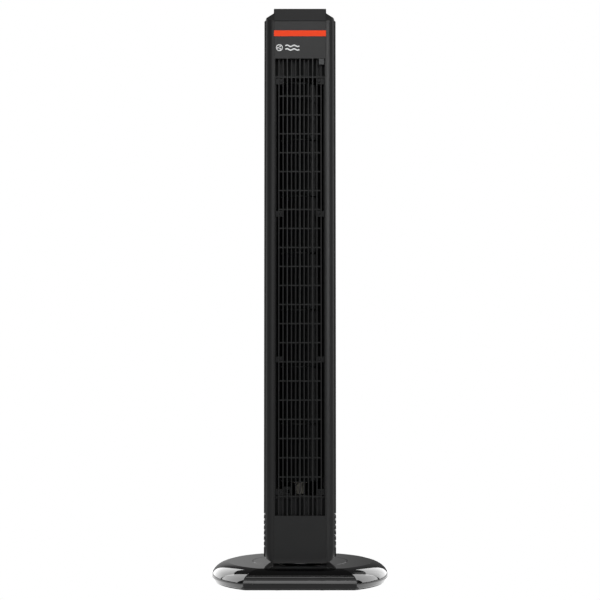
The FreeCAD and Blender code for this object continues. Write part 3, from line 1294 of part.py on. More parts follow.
for button_name, button_x in zip(BUTTON_NAMES, BUTTON_X):
    PARTS[button_name + "_button"] = lambda x=button_x: button(x)


os.makedirs("parts", exist_ok=True)
for node, make in PARTS.items():
    shape = make()
    shape.exportStep("parts/" + node + ".step")
    state = "valid" if shape.isValid() else "NOT VALID"
    print(node, len(shape.Solids), "solid(s)", round(shape.Volume / 1000, 2), "cm3", state)
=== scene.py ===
"""Tower fan: finishes, moulded details and a studio, laid out as an add-on and run as a script."""

import json
import math

import bmesh
import bpy
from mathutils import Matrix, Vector


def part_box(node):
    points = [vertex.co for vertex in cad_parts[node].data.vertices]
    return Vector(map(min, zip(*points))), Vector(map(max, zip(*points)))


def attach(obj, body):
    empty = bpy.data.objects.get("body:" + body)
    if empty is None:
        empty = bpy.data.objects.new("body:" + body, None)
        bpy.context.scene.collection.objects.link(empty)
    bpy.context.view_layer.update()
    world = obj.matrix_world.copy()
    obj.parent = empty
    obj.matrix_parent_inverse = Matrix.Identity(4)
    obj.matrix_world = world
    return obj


bl_info = {
    "name": "Tower fan finishes",
    "version": (1, 0, 0),
    "blender": (4, 5, 0),
    "location": "View3D > Sidebar > Tower fan",
    "description": "Dresses a packed tower fan with moulded details, finishes and a studio",
    "category": "Object",
}

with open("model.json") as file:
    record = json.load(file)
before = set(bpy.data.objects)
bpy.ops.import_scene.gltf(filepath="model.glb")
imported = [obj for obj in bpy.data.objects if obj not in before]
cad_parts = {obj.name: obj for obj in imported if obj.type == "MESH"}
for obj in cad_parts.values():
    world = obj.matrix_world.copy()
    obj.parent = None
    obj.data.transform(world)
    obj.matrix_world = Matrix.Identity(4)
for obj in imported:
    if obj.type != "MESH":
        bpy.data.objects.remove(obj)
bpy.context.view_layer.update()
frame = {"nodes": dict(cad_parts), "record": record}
NODES = frame["nodes"]
RECORD = frame["record"]
SLOT_OF = {s["node"]: s["material_slot"] for s in RECORD["subparts"]}
BODY_OF = {n: b for b, ns in RECORD["behaviour"]["bodies"].items() for n in ns}


# ---- settings a user would change ----
class FanFinishSettings(bpy.types.PropertyGroup):
    """Colours and gloss of the fan's finishes."""

    shell_colour: bpy.props.FloatVectorProperty(
        name="Front shell colour", description="Moulded colour of the front housing and fascia",
        subtype="COLOR", size=3, min=0, max=1, default=(0.020, 0.0205, 0.0208))
    back_colour: bpy.props.FloatVectorProperty(
        name="Back shell colour", description="Moulded colour of the rear shell and its grilles",
        subtype="COLOR", size=3, min=0, max=1, default=(0.009, 0.0092, 0.0095))
    inner_colour: bpy.props.FloatVectorProperty(
        name="Inner colour", description="Moulded colour of the guard, duct and wheel",
        subtype="COLOR", size=3, min=0, max=1, default=(0.0095, 0.0108, 0.0115))
    accent_colour: bpy.props.FloatVectorProperty(
        name="Accent colour", description="Colour of the trim band",
        subtype="COLOR", size=3, min=0, max=1, default=(0.95, 0.055, 0.004))
    gloss_colour: bpy.props.FloatVectorProperty(
        name="Base colour", description="Colour of the glossy base",
        subtype="COLOR", size=3, min=0, max=1, default=(0.0008, 0.0008, 0.0009))
    shell_roughness: bpy.props.FloatProperty(
        name="Shell roughness", description="Roughness of the front shell's fine texture",
        subtype="FACTOR", min=0, max=1, default=0.36)
    symbol_height: bpy.props.FloatProperty(
        name="Symbol height", description="Height of the airflow symbol on the fascia",
        unit="LENGTH", subtype="DISTANCE", min=0.002, default=0.0118)
    # width of the near-black strip of painted shade in the seam under the lens
    seam_shade_width: bpy.props.FloatProperty(
        name="Seam shade width", description="Width of the painted seam shade under the sloping lens",
        unit="LENGTH", subtype="DISTANCE", min=0.0002, default=0.0011)


class FanStageSettings(bpy.types.PropertyGroup):
    """Camera and light of the studio."""

    camera_distance: bpy.props.FloatProperty(
        name="Camera distance", description="From the swing axis to the camera, along the floor",
        unit="LENGTH", subtype="DISTANCE", min=0.5, default=2.7)
    camera_height: bpy.props.FloatProperty(
        name="Camera height", description="Height of the camera above the floor",
        unit="LENGTH", subtype="DISTANCE", min=0, default=0.3698)
    camera_tilt: bpy.props.FloatProperty(
        name="Camera tilt", description="How far the camera looks up", unit="ROTATION",
        subtype="ANGLE", default=math.radians(2.68))
    lens: bpy.props.FloatProperty(
        name="Lens", description="Focal length on a 36 mm sensor, in millimetres", min=10, default=91.43)
    floor_colour: bpy.props.FloatVectorProperty(
        name="Floor colour", description="Colour of the plain floor", subtype="COLOR", size=3,
        min=0, max=1, default=(0.90, 0.90, 0.90))


def finish_settings():
    return bpy.context.scene.fan_finish


def stage_settings():
    return bpy.context.scene.fan_stage


# ---- shader helpers ----
def socket(tree, name, kind, default=None, is_output=False):
    made = tree.interface.new_socket(name=name, in_out="OUTPUT" if is_output else "INPUT", socket_type=kind)
    if default is not None:
        made.default_value = default
    return made


def node(tree, kind, label="", **values):
    made = tree.nodes.new(kind)
    made.label = label
    for key, value in values.items():
        setattr(made, key, value)
    return made


def math_node(tree, operation, a, b=None, c=None, clamp=False):
    made = node(tree, "ShaderNodeMath", operation=operation, use_clamp=clamp)
    for i, value in enumerate((a, b, c)):
        if value is None:
            continue
        if isinstance(value, bpy.types.NodeSocket):
            tree.links.new(value, made.inputs[i])
        else:
            made.inputs[i].default_value = value
    return made.outputs[0]


def mix_colour(tree, factor, a, b):
    made = node(tree, "ShaderNodeMix", data_type="RGBA")
    for socket_in, value in ((made.inputs[0], factor), (made.inputs[6], a), (made.inputs[7], b)):
        if isinstance(value, bpy.types.NodeSocket):
            tree.links.new(value, socket_in)
        else:
            socket_in.default_value = value
    return made.outputs[2]


def group(name, inputs, outputs):
    """A new shader node group with named sockets; returns the tree, its inputs and its output node."""
    tree = bpy.data.node_groups.new(name, "ShaderNodeTree")
    for label, kind, default in inputs:
        socket(tree, label, kind, default)
    for label, kind in outputs:
        socket(tree, label, kind, is_output=True)
    return tree, node(tree, "NodeGroupInput").outputs, node(tree, "NodeGroupOutput").inputs


def object_coordinates(tree):
    return node(tree, "ShaderNodeTexCoord").outputs["Object"]


def build_grain_group():
    """Fine spark-eroded grain and slow mottling of a moulded plastic."""
    tree, inp, out = group("Moulded grain", [
        ("Colour", "NodeSocketColor", (0.05, 0.05, 0.05, 1)), ("Roughness", "NodeSocketFloat", 0.4),
        ("Roughness spread", "NodeSocketFloat", 0.08), ("Mottle", "NodeSocketFloat", 0.10),
        ("Grain per metre", "NodeSocketFloat", 1800.0)],
        [("Colour", "NodeSocketColor"), ("Roughness", "NodeSocketFloat"), ("Height", "NodeSocketFloat")])
    where = object_coordinates(tree)
    fine = node(tree, "ShaderNodeTexNoise", "spark grain")
    tree.links.new(where, fine.inputs["Vector"])
    tree.links.new(inp["Grain per metre"], fine.inputs["Scale"])
    fine.inputs["Detail"].default_value = 3.0
    slow = node(tree, "ShaderNodeTexNoise", "flow mottle")
    tree.links.new(where, slow.inputs["Vector"])
    slow.inputs["Scale"].default_value = 14.0
    slow.inputs["Detail"].default_value = 4.0
    centred = math_node(tree, "SUBTRACT", slow.outputs["Fac"], 0.5)
    spread = math_node(tree, "MULTIPLY", centred, inp["Roughness spread"])
    fine_spread = math_node(tree, "MULTIPLY", math_node(tree, "SUBTRACT", fine.outputs["Fac"], 0.5), 0.10)
    rough = math_node(tree, "ADD", inp["Roughness"], math_node(tree, "ADD", spread, fine_spread), clamp=True)
    tree.links.new(rough, out["Roughness"])
    lift = math_node(tree, "MULTIPLY", centred, inp["Mottle"])
    gain = math_node(tree, "ADD", lift, 1.0)
    scale = node(tree, "ShaderNodeVectorMath", operation="SCALE")
    tree.links.new(inp["Colour"], scale.inputs[0])
    tree.links.new(gain, scale.inputs["Scale"])
    tree.links.new(scale.outputs[0], out["Colour"])
    tree.links.new(fine.outputs["Fac"], out["Height"])
    return tree


def build_edge_group():
    """Mask of edges painted lighter, partly as wear and partly as a painted highlight: where a rounded
    normal leaves the flat one.
    """
    tree, inp, out = group("Edge wear and painted highlight", [
        ("Width", "NodeSocketFloat", 0.0006), ("Amount", "NodeSocketFloat", 1.0)],
        [("Mask", "NodeSocketFloat")])
    bevel = node(tree, "ShaderNodeBevel", samples=4)
    tree.links.new(inp["Width"], bevel.inputs["Radius"])
    flat = node(tree, "ShaderNodeNewGeometry")
    dot = node(tree, "ShaderNodeVectorMath", operation="DOT_PRODUCT")
    tree.links.new(bevel.outputs[0], dot.inputs[0])
    tree.links.new(flat.outputs["Normal"], dot.inputs[1])
    away = math_node(tree, "SUBTRACT", 1.0, dot.outputs["Value"])
    # noise breaks up the edge mask, which paints both wear and a highlight
    wear_highlight_noise = node(tree, "ShaderNodeTexNoise", "wear and highlight breakup")
    tree.links.new(object_coordinates(tree), wear_highlight_noise.inputs["Vector"])
    wear_highlight_noise.inputs["Scale"].default_value = 90.0
    worn_and_highlit = math_node(tree, "MULTIPLY", away, math_node(tree, "ADD", wear_highlight_noise.outputs["Fac"], 0.4))
    tree.links.new(math_node(tree, "MULTIPLY", worn_and_highlit, inp["Amount"], clamp=True), out["Mask"])
    return tree


def build_dust_group():
    """Mask of fine dust: thin, blotchy, and only where the surface faces up."""
    tree, inp, out = group("Settled dust", [
        ("Amount", "NodeSocketFloat", 0.3)],
        [("Mask", "NodeSocketFloat")])
    split = node(tree, "ShaderNodeSeparateXYZ")
    tree.links.new(node(tree, "ShaderNodeNewGeometry").outputs["Normal"], split.inputs[0])
    up = math_node(tree, "POWER", math_node(tree, "MAXIMUM", split.outputs["Z"], 0.0), 3.0)
    blotch = node(tree, "ShaderNodeTexNoise", "dust blotches")
    tree.links.new(object_coordinates(tree), blotch.inputs["Vector"])
    blotch.inputs["Scale"].default_value = 60.0
    blotch.inputs["Detail"].default_value = 6.0
    thin = math_node(tree, "MULTIPLY", up, blotch.outputs["Fac"])
    tree.links.new(math_node(tree, "MULTIPLY", thin, inp["Amount"], clamp=True), out["Mask"])
    return tree


def build_brushed_group():
    """Fine lines of drawn or brushed metal, run along Z."""
    tree, inp, out = group("Brushed lines", [
        ("Roughness", "NodeSocketFloat", 0.3), ("Spread", "NodeSocketFloat", 0.2)],
        [("Roughness", "NodeSocketFloat"), ("Height", "NodeSocketFloat")])
    mapping = node(tree, "ShaderNodeMapping")
    tree.links.new(object_coordinates(tree), mapping.inputs["Vector"])
    mapping.inputs["Scale"].default_value = (2600.0, 2600.0, 60.0)
    lines = node(tree, "ShaderNodeTexNoise", "draw lines")
    tree.links.new(mapping.outputs[0], lines.inputs["Vector"])
    lines.inputs["Scale"].default_value = 1.0
    centred = math_node(tree, "SUBTRACT", lines.outputs["Fac"], 0.5)
    varied = math_node(tree, "MULTIPLY", centred, inp["Spread"])
    rough = math_node(tree, "ADD", inp["Roughness"], varied, clamp=True)
    tree.links.new(rough, out["Roughness"])
    tree.links.new(lines.outputs["Fac"], out["Height"])
    return tree


GROUPS = {}
DUST_COLOUR = (0.30, 0.29, 0.27, 1)
# edges are painted lighter by this gain and lift: partly wear, partly a painted highlight
WEAR_HIGHLIGHT_GAIN = 2.2
WEAR_HIGHLIGHT_LIFT = 0.02


def build_groups():
    GROUPS["grain"] = build_grain_group()
    GROUPS["edge"] = build_edge_group()
    GROUPS["dust"] = build_dust_group()
    GROUPS["brushed"] = build_brushed_group()


def place_group(tree, key, **values):
    made = node(tree, "ShaderNodeGroup")
    made.node_tree = GROUPS[key]
    for label, value in values.items():
        made.inputs[label.replace("_", " ").capitalize()].default_value = value
    return made


def blank_material(name):
    made = bpy.data.materials.new(name)
    made.use_nodes = True
    tree = made.node_tree
    shader = tree.nodes["Principled BSDF"]
    return made, tree, shader


def moulded(name, colour, roughness, grain=1800.0, bump=0.25, mottle=0.12, edge=0.35, dust=0.15, coat=0.0,
            specular=0.5):
    """A moulded plastic: grain, flow mottle, edges painted lighter as wear and as a painted highlight, and a
    little dust.
    """
    made, tree, shader = blank_material(name)
    grains = place_group(tree, "grain", colour=(*colour, 1), roughness=roughness, mottle=mottle,
                         grain_per_metre=grain)
    edges = place_group(tree, "edge", amount=edge)
    dusts = place_group(tree, "dust", amount=dust)
    # painted highlight and wear: the edge mask mixes in a lighter copy of the colour
    worn_and_highlit_colour = tuple(min(1.0, c * WEAR_HIGHLIGHT_GAIN + WEAR_HIGHLIGHT_LIFT) for c in colour)
    worn_and_highlit = mix_colour(tree, edges.outputs["Mask"], grains.outputs["Colour"], (*worn_and_highlit_colour, 1))
    dusty = mix_colour(tree, dusts.outputs["Mask"], worn_and_highlit, DUST_COLOUR)
    tree.links.new(dusty, shader.inputs["Base Color"])
    rough = math_node(tree, "ADD", grains.outputs["Roughness"],
                      math_node(tree, "MULTIPLY", dusts.outputs["Mask"], 0.4), clamp=True)
    tree.links.new(rough, shader.inputs["Roughness"])
    bump_node = node(tree, "ShaderNodeBump")
    bump_node.inputs["Strength"].default_value = bump
    bump_node.inputs["Distance"].default_value = 0.0001
    tree.links.new(grains.outputs["Height"], bump_node.inputs["Height"])
    tree.links.new(bump_node.outputs[0], shader.inputs["Normal"])
    shader.inputs["Specular IOR Level"].default_value = specular
    shader.inputs["Coat Weight"].default_value = coat
    shader.inputs["Coat Roughness"].default_value = 0.04
    return made


def metal(name, colour, roughness, spread=0.18, bump=0.15):
    made, tree, shader = blank_material(name)
    lines = place_group(tree, "brushed", roughness=roughness, spread=spread)
    grains = place_group(tree, "grain", colour=(*colour, 1), roughness=roughness, mottle=0.25)
    tree.links.new(grains.outputs["Colour"], shader.inputs["Base Color"])
    tree.links.new(lines.outputs["Roughness"], shader.inputs["Roughness"])
    shader.inputs["Metallic"].default_value = 1.0
    bump_node = node(tree, "ShaderNodeBump")
    bump_node.inputs["Strength"].default_value = bump
    bump_node.inputs["Distance"].default_value = 0.00005
    tree.links.new(lines.outputs["Height"], bump_node.inputs["Height"])
    tree.links.new(bump_node.outputs[0], shader.inputs["Normal"])
    return made


def build_materials():
    """One material for each of the record's slots."""
    s = finish_settings()
    return {
        "gloss_black": moulded("Piano black", s.gloss_colour, 0.045, grain=300.0, bump=0.02, mottle=0.3,
                               edge=0.1, dust=0.003),
        "charcoal_plastic": moulded("Charcoal shell", s.shell_colour, s.shell_roughness, bump=0.3),
        "black_plastic": moulded("Black shell", s.back_colour, 0.45, bump=0.3),
        "accent_orange": moulded("Orange trim", s.accent_colour, 0.5, grain=900.0, bump=0.05, mottle=0.05,
                                 edge=0.1, dust=0.05, specular=0.2),
        "display_lens": moulded("Smoked lens", (0.058, 0.059, 0.060), 0.34, grain=900.0, bump=0.04,
                                dust=0.05),
        "deck_plastic": moulded("Control deck", s.shell_colour, 0.42),
        "button_plastic": moulded("Button caps", (0.05, 0.05, 0.055), 0.5),
        "sensor_window": moulded("Infrared window", (0.045, 0.048, 0.05), 0.3, bump=0.02, mottle=0.05),
        "inner_plastic": moulded("Inner black", s.inner_colour, 0.42, bump=0.2),
        "white_print": moulded("White print", (0.80, 0.81, 0.81), 0.5, grain=2500.0, bump=0.1, edge=0.0),
        "panel_grey": moulded("Outlet blanks", (0.035, 0.036, 0.037), 0.5, bump=0.2),
        "steel": metal("Plated steel", (0.62, 0.62, 0.64), 0.28),
        "black_steel": metal("Blackened steel", (0.05, 0.05, 0.052), 0.42),
        "zinc_can": metal("Galvanised can", (0.55, 0.56, 0.58), 0.36),
        "copper": metal("Enamelled copper", (0.72, 0.30, 0.14), 0.35),
        "bronze": metal("Sintered bronze", (0.60, 0.42, 0.20), 0.5),
        # painted shade: a near-black material for the strip that stands in for the seam's shadow
        "painted_seam_shade": moulded("Painted seam shade", (0.003, 0.003, 0.003), 0.8, edge=0.0, dust=0.02, specular=0.1),
        "rubber": moulded("Soft rubber", (0.018, 0.018, 0.018), 0.75, grain=1200.0, bump=0.4, edge=0.15),
        "iron": moulded("Raw casting", (0.10, 0.095, 0.09), 0.7, grain=700.0, bump=0.8, mottle=0.5),
        "nylon": moulded("Natural nylon", (0.66, 0.63, 0.56), 0.45, bump=0.1),
        "circuit_board": moulded("Circuit board", (0.02, 0.13, 0.06), 0.35, bump=0.05),
        "component_black": moulded("Components", (0.03, 0.03, 0.03), 0.4),
    }


MATERIALS = {}


def dress(obj, material):
    obj.data.materials.clear()
    obj.data.materials.append(material)


# ---- studio ----
BASE = ("base_cover", "base_pan", "turntable")
REAR = ("rear_shell", "rear_left_intake_grille", "rear_right_intake_grille", "left_intake_grille",
        "handle_cup")
BRIGHT = ("accent_band", "airflow_symbol")
# name, place, target, size along the floor and upwards, power, what it lights (everything if empty)
LIGHTS = (
    ("left_softbox", (-0.95, 0.15, 0.87), (0, 0.05, 0.55), (0.7, 1.7), 20.0, BASE),
    ("right_softbox", (0.95, 0.15, 0.87), (0, 0.05, 0.55), (0.7, 1.7), 20.0, BASE),
    ("high_softbox", (0.0, -1.75, 2.0), (0, -0.05, 0.1), (1.6, 0.07), 0.8, BASE),
    ("low_card", (0.0, -1.9, 0.27), (0, -0.1, 0.15), (2.4, 0.52), 10.5, BASE),
    ("middle_card", (0.0, -1.7, 0.95), (0, -0.1, 0.05), (2.4, 0.85), 1.3, BASE),
    ("left_back_softbox", (-1.0, 1.05, 0.55), (-0.10, 0.05, 0.05), (1.0, 1.06), 12.5, BASE),
    ("right_back_softbox", (1.0, 1.05, 0.55), (0.10, 0.05, 0.05), (1.0, 1.06), 12.5, BASE),
    ("left_floor_card", (-0.50, 0.0, 0.004), (-0.50, 0.0, 1.0), (0.8, 1.4), 5.8, BASE),
    ("right_floor_card", (0.50, 0.0, 0.004), (0.50, 0.0, 1.0), (0.8, 1.4), 5.8, BASE),
    ("front_floor_card", (0.0, -0.36, 0.004), (0.0, -0.36, 1.0), (0.2, 0.52), 0.09, BASE),
    ("band_softbox", (0.0, -1.2, 1.7), (0, -0.06, 0.94), (0.5, 0.3), 7.5, BRIGHT),
    ("rear_softbox", (0.0, 2.0, 1.45), (0, 0, 0.5), (1.8, 1.0), 55.0, REAR),
    ("head_softbox", (0.0, -1.6, 1.28), (0, -0.06, 0.93), (1.0, 0.25), 1.5, ()),
    ("front_left_softbox", (-1.5, -1.3, 1.0), (0, -0.05, 0.6), (0.5, 1.4), 2.45, ()),
    ("front_right_softbox", (1.5, -0.9, 1.0), (0, -0.05, 0.6), (0.5, 1.4), 6.41, ()),
    ("back_right_strip", (1.3, 1.1, 1.0), (0, 0, 0.6), (0.5, 1.6), 1.32, ()),
)
# brightness of the studio's walls as the fan reflects them
WALLS = {"back left": 0.26, "front": 0.71, "everywhere": 0.114}
FLOOR_GLOW = 0.078
FLOOR_HALF = 9.0


def area_light(name, place, target, size, power, lit):
    """A soft box that lights and is reflected, but isn't seen itself; flags keep it to the nodes in lit."""
    data = bpy.data.lights.new(name, "AREA")
    data.shape = "RECTANGLE"
    data.size, data.size_y = size
    data.energy = power
    lamp = bpy.data.objects.new(name, data)
    lamp.location = place
    lamp.rotation_euler = (Vector(target) - Vector(place)).to_track_quat("-Z", "Y").to_euler()
    lamp.visible_camera = False
    if lit:
        flagged = bpy.data.collections.new(name + "_lights")
        for key in lit:
            flagged.objects.link(NODES[key] if key in NODES else bpy.data.objects[key])
        lamp.light_linking.receiver_collection = flagged
    bpy.context.scene.collection.objects.link(lamp)
    return lamp


def build_floor(colour):
    """Plain pale floor, burnt out to white where the camera sees it."""
    mesh = bpy.data.meshes.new("studio_floor")
    bm = bmesh.new()
    bmesh.ops.create_grid(bm, x_segments=8, y_segments=8, size=FLOOR_HALF)
    bm.to_mesh(mesh)
    bm.free()
    floor = bpy.data.objects.new("studio_floor", mesh)
    bpy.context.scene.collection.objects.link(floor)
    made, tree, shader = blank_material("Pale floor")
    grains = place_group(tree, "grain", colour=(*colour, 1), roughness=0.55, mottle=0.01)
    tree.links.new(grains.outputs["Colour"], shader.inputs["Base Color"])
    tree.links.new(grains.outputs["Roughness"], shader.inputs["Roughness"])
    shader.inputs["Emission Color"].default_value = (1, 1, 1, 1)
    shader.inputs["Emission Strength"].default_value = FLOOR_GLOW
    white = node(tree, "ShaderNodeEmission")
    seen = node(tree, "ShaderNodeLightPath").outputs["Is Camera Ray"]
    both = node(tree, "ShaderNodeMixShader")
    tree.links.new(seen, both.inputs[0])
    tree.links.new(shader.outputs[0], both.inputs[1])
    tree.links.new(white.outputs[0], both.inputs[2])
    tree.links.new(both.outputs[0], tree.nodes["Material Output"].inputs[0])
    dress(floor, made)
    return floor


def ramp(tree, value, low, high):
    """A smooth step from 0 at low to 1 at high."""
    made = node(tree, "ShaderNodeMapRange", interpolation_type="SMOOTHSTEP")
    tree.links.new(value, made.inputs["Value"])
    made.inputs["From Min"].default_value = low
    made.inputs["From Max"].default_value = high
    return made.outputs[0]


def build_world():
    """White to the camera; to the fan, a dim room with a wall behind on the left and one in front."""
    world = bpy.data.worlds.new("Studio")
    bpy.context.scene.world = world
    world.use_nodes = True
    tree = world.node_tree
    split = node(tree, "ShaderNodeSeparateXYZ")
    tree.links.new(node(tree, "ShaderNodeTexCoord").outputs["Generated"], split.inputs[0])
    x, y, z = split.outputs
    low = math_node(tree, "SUBTRACT", 1.0, ramp(tree, z, 0.22, 0.42))
    back = math_node(tree, "MULTIPLY", ramp(tree, y, 0.3, 0.6), low)
    left = math_node(tree, "SUBTRACT", 1.0, ramp(tree, x, -0.06, 0.06))
    ahead = ramp(tree, math_node(tree, "MULTIPLY", y, -1.0), 0.3, 0.7)
    raised = math_node(tree, "MULTIPLY", ramp(tree, z, 0.02, 0.2),
                       math_node(tree, "SUBTRACT", 1.0, ramp(tree, z, 0.3, 0.7)))
    masks = {"back left": math_node(tree, "MULTIPLY", back, left),
             "front": math_node(tree, "MULTIPLY", ahead, raised)}
    total = None
    for name, mask in masks.items():
        part = math_node(tree, "MULTIPLY", mask, WALLS[name])
        total = part if total is None else math_node(tree, "ADD", total, part)
    total = math_node(tree, "ADD", total, WALLS["everywhere"])
    seen = node(tree, "ShaderNodeLightPath").outputs["Is Camera Ray"]
    strength = math_node(tree, "MAXIMUM", total, seen)
    tree.nodes["Background"].inputs["Color"].default_value = (1, 1, 1, 1)
    tree.links.new(strength, tree.nodes["Background"].inputs["Strength"])
    return world


class FAN_OT_studio(bpy.types.Operator):
    """Builds the pale floor, the soft lights and the camera"""

    bl_idname = "fan.studio"
    bl_label = "Studio"

    def execute(self, context):
        s = stage_settings()
        build_floor(s.floor_colour)
        build_world()
        for light in LIGHTS:
            area_light(*light)
        camera = bpy.data.cameras.new("studio_camera")
        camera.lens = s.lens
        camera.sensor_width = 36.0
        holder = bpy.data.objects.new("studio_camera", camera)
        holder.location = (0, -s.camera_distance, s.camera_height)
        holder.rotation_euler = (math.radians(90) + s.camera_tilt, 0, 0)
        context.scene.collection.objects.link(holder)
        context.scene.camera = holder
        context.scene.view_settings.view_transform = "Standard"
        return {"FINISHED"}


class FAN_OT_finishes(bpy.types.Operator):
    """Gives every packed sub-part its finish"""

    bl_idname = "fan.finishes"
    bl_label = "Finishes"

    def execute(self, context):
        build_groups()
        MATERIALS.update(build_materials())
        for name, obj in NODES.items():
            dress(obj, MATERIALS[SLOT_OF[name]])
        return {"FINISHED"}


# ---- printed symbols and the painted seam shade ----
INK_T = 0.00006
INK = (("SOLIDIFY", {"thickness": INK_T, "offset": 0.0}),)
LINE_W = 0.0012
FINE_W = 0.0005
WAVE_W = 0.0021
WAVE_LENGTH = 0.0245
WAVE_SWELL = 0.0012
WAVE_GAP = 0.0045
PETAL_SWEEP = 55
PETAL_SPREAD = 62
SYMBOL_INSET = 0.0031
SYMBOL_DROP = 0.0202
BUTTON_SYMBOL_R = 0.0022
BUTTON_SYMBOL_GAP = 0.0045
# the near-black seam strip is painted shade where the seam's shadow falls
SEAM_SHADE_SIDES = 12
SEAM_SHADE_STATIONS = 25
SEAM_SHADE_SUNK = 0.7


def add_piece(name, bm, body, material, modifiers=()):
    """Turns a bmesh into a piece that rides on a body."""
    mesh = bpy.data.meshes.new(name)
    bmesh.ops.recalc_face_normals(bm, faces=bm.faces)
    bm.to_mesh(mesh)
    bm.free()
    piece = bpy.data.objects.new(name, mesh)
    bpy.context.scene.collection.objects.link(piece)
    for kind, values in modifiers:
        modifier = piece.modifiers.new(kind.title(), kind)
        for key, value in values.items():
            setattr(modifier, key, value)
    dress(piece, MATERIALS[material])
    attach(piece, body)
    return piece


def stroke(bm, place, points, width, closed=False):
    """A flat ribbon of even width along 2-D points; place turns (u, v) into a 3-D point."""
    count = len(points)
    rails = []
    for i, (u, v) in enumerate(points):
        before = points[(i - 1) % count] if closed or i else points[i]
        after = points[(i + 1) % count] if closed or i < count - 1 else points[i]
        run = Vector((after[0] - before[0], after[1] - before[1])).normalized()
        side = Vector((-run.y, run.x)) * width / 2
        one = bm.verts.new(place(u + side.x, v + side.y))
        other = bm.verts.new(place(u - side.x, v - side.y))
        rails.append((one, other))
    pairs = list(zip(rails, rails[1:]))
    if closed:
        pairs.append((rails[-1], rails[0]))
    for (a, b), (c, d) in pairs:
        bm.faces.new((a, b, d, c))


def arc_points(centre, radius, start, end, steps):
    """Points of an arc, with its angles in degrees."""
    return [(centre[0] + radius * math.cos(math.radians(start + (end - start) * i / steps)),
             centre[1] + radius * math.sin(math.radians(start + (end - start) * i / steps)))
            for i in range(steps + 1)]


def petal(bm, place, centre, radius, turn):
    """One curved blade of a small fan rosette."""
    outline = []
    for i in range(9):
        t = i / 8
        outline.append((t * radius, turn + PETAL_SWEEP * t))
    for i in range(8, 0, -1):
        t = i / 8
        bulge = PETAL_SPREAD * math.sin(math.pi * min(t * 0.75, 0.5))
        outline.append((t * radius, turn + PETAL_SWEEP * t + bulge))
    verts = []
    for r, angle in outline:
        a = math.radians(angle)
        verts.append(bm.verts.new(place(centre[0] + r * math.cos(a), centre[1] + r * math.sin(a))))
    bm.faces.new(verts)


def airflow_symbol(place, left, middle, height):
    """A fan rosette and two waves of air."""
    bm = bmesh.new()
    r = height / 2
    centre = (left + r, middle)
    stroke(bm, place, arc_points(centre, r - LINE_W / 2, 0, 360, 48)[:-1], LINE_W, closed=True)
    for k in range(3):
        petal(bm, place, centre, r * 0.72, 120 * k)
    start = left + 2 * r + WAVE_GAP
    for row in (-1, 1):
        base = middle + row * height * 0.27
        points = [(start + WAVE_LENGTH * i / 40, base + WAVE_SWELL * math.sin(math.pi * 4 * i / 40))
                  for i in range(41)]
        stroke(bm, place, points, WAVE_W)
    return bm


def draw_power(bm, place, r):
    """A broken ring with a bar in its gap."""
    stroke(bm, place, arc_points((0, 0), r, 120, 420, 28), FINE_W)
    stroke(bm, place, [(0, r * 0.2), (0, r * 1.3)], FINE_W)


def draw_speed(bm, place, r):
    """Three bars of growing height."""
    for i in range(3):
        x = (i - 1) * r * 0.8
        stroke(bm, place, [(x, -r), (x, -r + r * 0.7 * (i + 1))], LINE_W)


def draw_mode(bm, place, r):
    """Three waves of air."""
    for i in range(3):
        points = [(r * (t / 6 - 1), (i - 1) * r * 0.7 + r * 0.2 * math.sin(math.pi * t / 3))
                  for t in range(13)]
        stroke(bm, place, points, FINE_W)


def draw_swing(bm, place, r):
    """An arc with an arrowhead at each end."""
    stroke(bm, place, arc_points((0, -r), 1.7 * r, 40, 140, 20), FINE_W)
    for side in (-1, 1):
        tip = (side * 1.5 * r, -0.15 * r)
        stroke(bm, place, [(tip[0] - side * 0.7 * r, tip[1]), tip, (tip[0], tip[1] + 0.7 * r)], FINE_W)


def draw_timer(bm, place, r):
    """A clock face with two hands."""
    stroke(bm, place, arc_points((0, 0), r, 0, 360, 36)[:-1], FINE_W, closed=True)
    stroke(bm, place, [(0, r * 0.7), (0, 0), (r * 0.5, 0)], FINE_W)


SYMBOLS = {"power": draw_power, "speed": draw_speed, "mode": draw_mode, "swing": draw_swing,
           "timer": draw_timer}


class FAN_OT_markings(bpy.types.Operator):
    """Prints the airflow symbol on the fascia and a symbol behind each button"""

    bl_idname = "fan.markings"
    bl_label = "Markings"

    def execute(self, context):
        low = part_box("fascia")[0]
        front = low[1] - INK_T / 2
        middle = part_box("accent_band")[0][2] - SYMBOL_DROP
        bm = airflow_symbol(lambda u, v: (u, front, v), low[0] + SYMBOL_INSET, middle,
                            finish_settings().symbol_height)
        add_piece("airflow_symbol", bm, "column", "white_print", INK)
        deck_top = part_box("control_deck")[1][2] + INK_T / 2
        for name, draw in SYMBOLS.items():
            button_low, button_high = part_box(name + "_button")
            x = (button_low[0] + button_high[0]) / 2
            y = button_high[1] + BUTTON_SYMBOL_GAP
            bm = bmesh.new()
            draw(bm, lambda u, v: (x + u, y + v, deck_top), BUTTON_SYMBOL_R)
            add_piece(name + "_symbol", bm, "column", "white_print", INK)
        return {"FINISHED"}


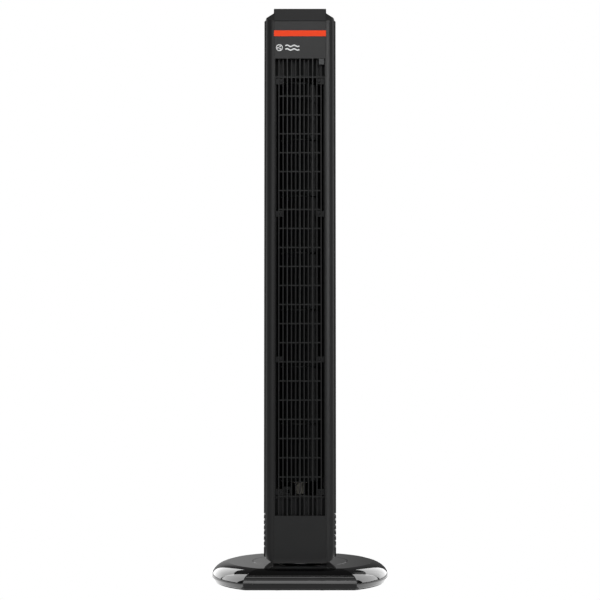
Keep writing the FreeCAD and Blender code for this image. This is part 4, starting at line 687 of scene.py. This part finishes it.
class FAN_OT_seams(bpy.types.Operator):
    """Lays a near-black strip in the seam between the fascia and the sloping lens, as painted shade for the
    seam's shadow
    """

    bl_idname = "fan.seams"
    bl_label = "Seams"

    def execute(self, context):
        low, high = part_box("fascia")
        bm = bmesh.new()
        r = finish_settings().seam_shade_width / 2
        rows = []
        for i in range(SEAM_SHADE_STATIONS):
            x = low[0] + (high[0] - low[0]) * i / (SEAM_SHADE_STATIONS - 1)
            ring = []
            for k in range(SEAM_SHADE_SIDES):
                turn = math.tau * k / SEAM_SHADE_SIDES
                y = low[1] + r * SEAM_SHADE_SUNK - r * math.cos(turn)
                ring.append(bm.verts.new((x, y, high[2] + r * math.sin(turn))))
            rows.append(ring)
        for a, b in zip(rows, rows[1:]):
            for k in range(SEAM_SHADE_SIDES):
                after = (k + 1) % SEAM_SHADE_SIDES
                bm.faces.new((a[k], a[after], b[after], b[k]))
        for end in (rows[0], rows[-1]):
            bm.faces.new(end)
        # painted shade: a near-black strip in place of the seam's shadow
        add_piece("lens_gasket", bm, "column", "painted_seam_shade")
        return {"FINISHED"}


class FAN_PT_panel(bpy.types.Panel):
    """Lists the fan's settings and steps"""

    bl_idname = "FAN_PT_panel"
    bl_label = "Tower fan"
    bl_space_type = "VIEW_3D"
    bl_region_type = "UI"
    bl_category = "Tower fan"

    def draw(self, context):
        for settings in (context.scene.fan_finish, context.scene.fan_stage):
            for name in settings.bl_rna.properties.keys():
                if name not in ("rna_type", "name"):
                    self.layout.prop(settings, name)
        for step in STEPS:
            self.layout.operator(step.bl_idname)


STEPS = (FAN_OT_finishes, FAN_OT_markings, FAN_OT_seams, FAN_OT_studio)
CLASSES = (FanFinishSettings, FanStageSettings) + STEPS + (FAN_PT_panel,)


def register():
    for cls in CLASSES:
        bpy.utils.register_class(cls)
    bpy.types.Scene.fan_finish = bpy.props.PointerProperty(type=FanFinishSettings)
    bpy.types.Scene.fan_stage = bpy.props.PointerProperty(type=FanStageSettings)


def unregister():
    del bpy.types.Scene.fan_stage
    del bpy.types.Scene.fan_finish
    for cls in reversed(CLASSES):
        bpy.utils.unregister_class(cls)


def main():
    register()
    for step in STEPS:
        area, name = step.bl_idname.split(".")
        getattr(getattr(bpy.ops, area), name)()


if __name__ == "__main__":
    main()
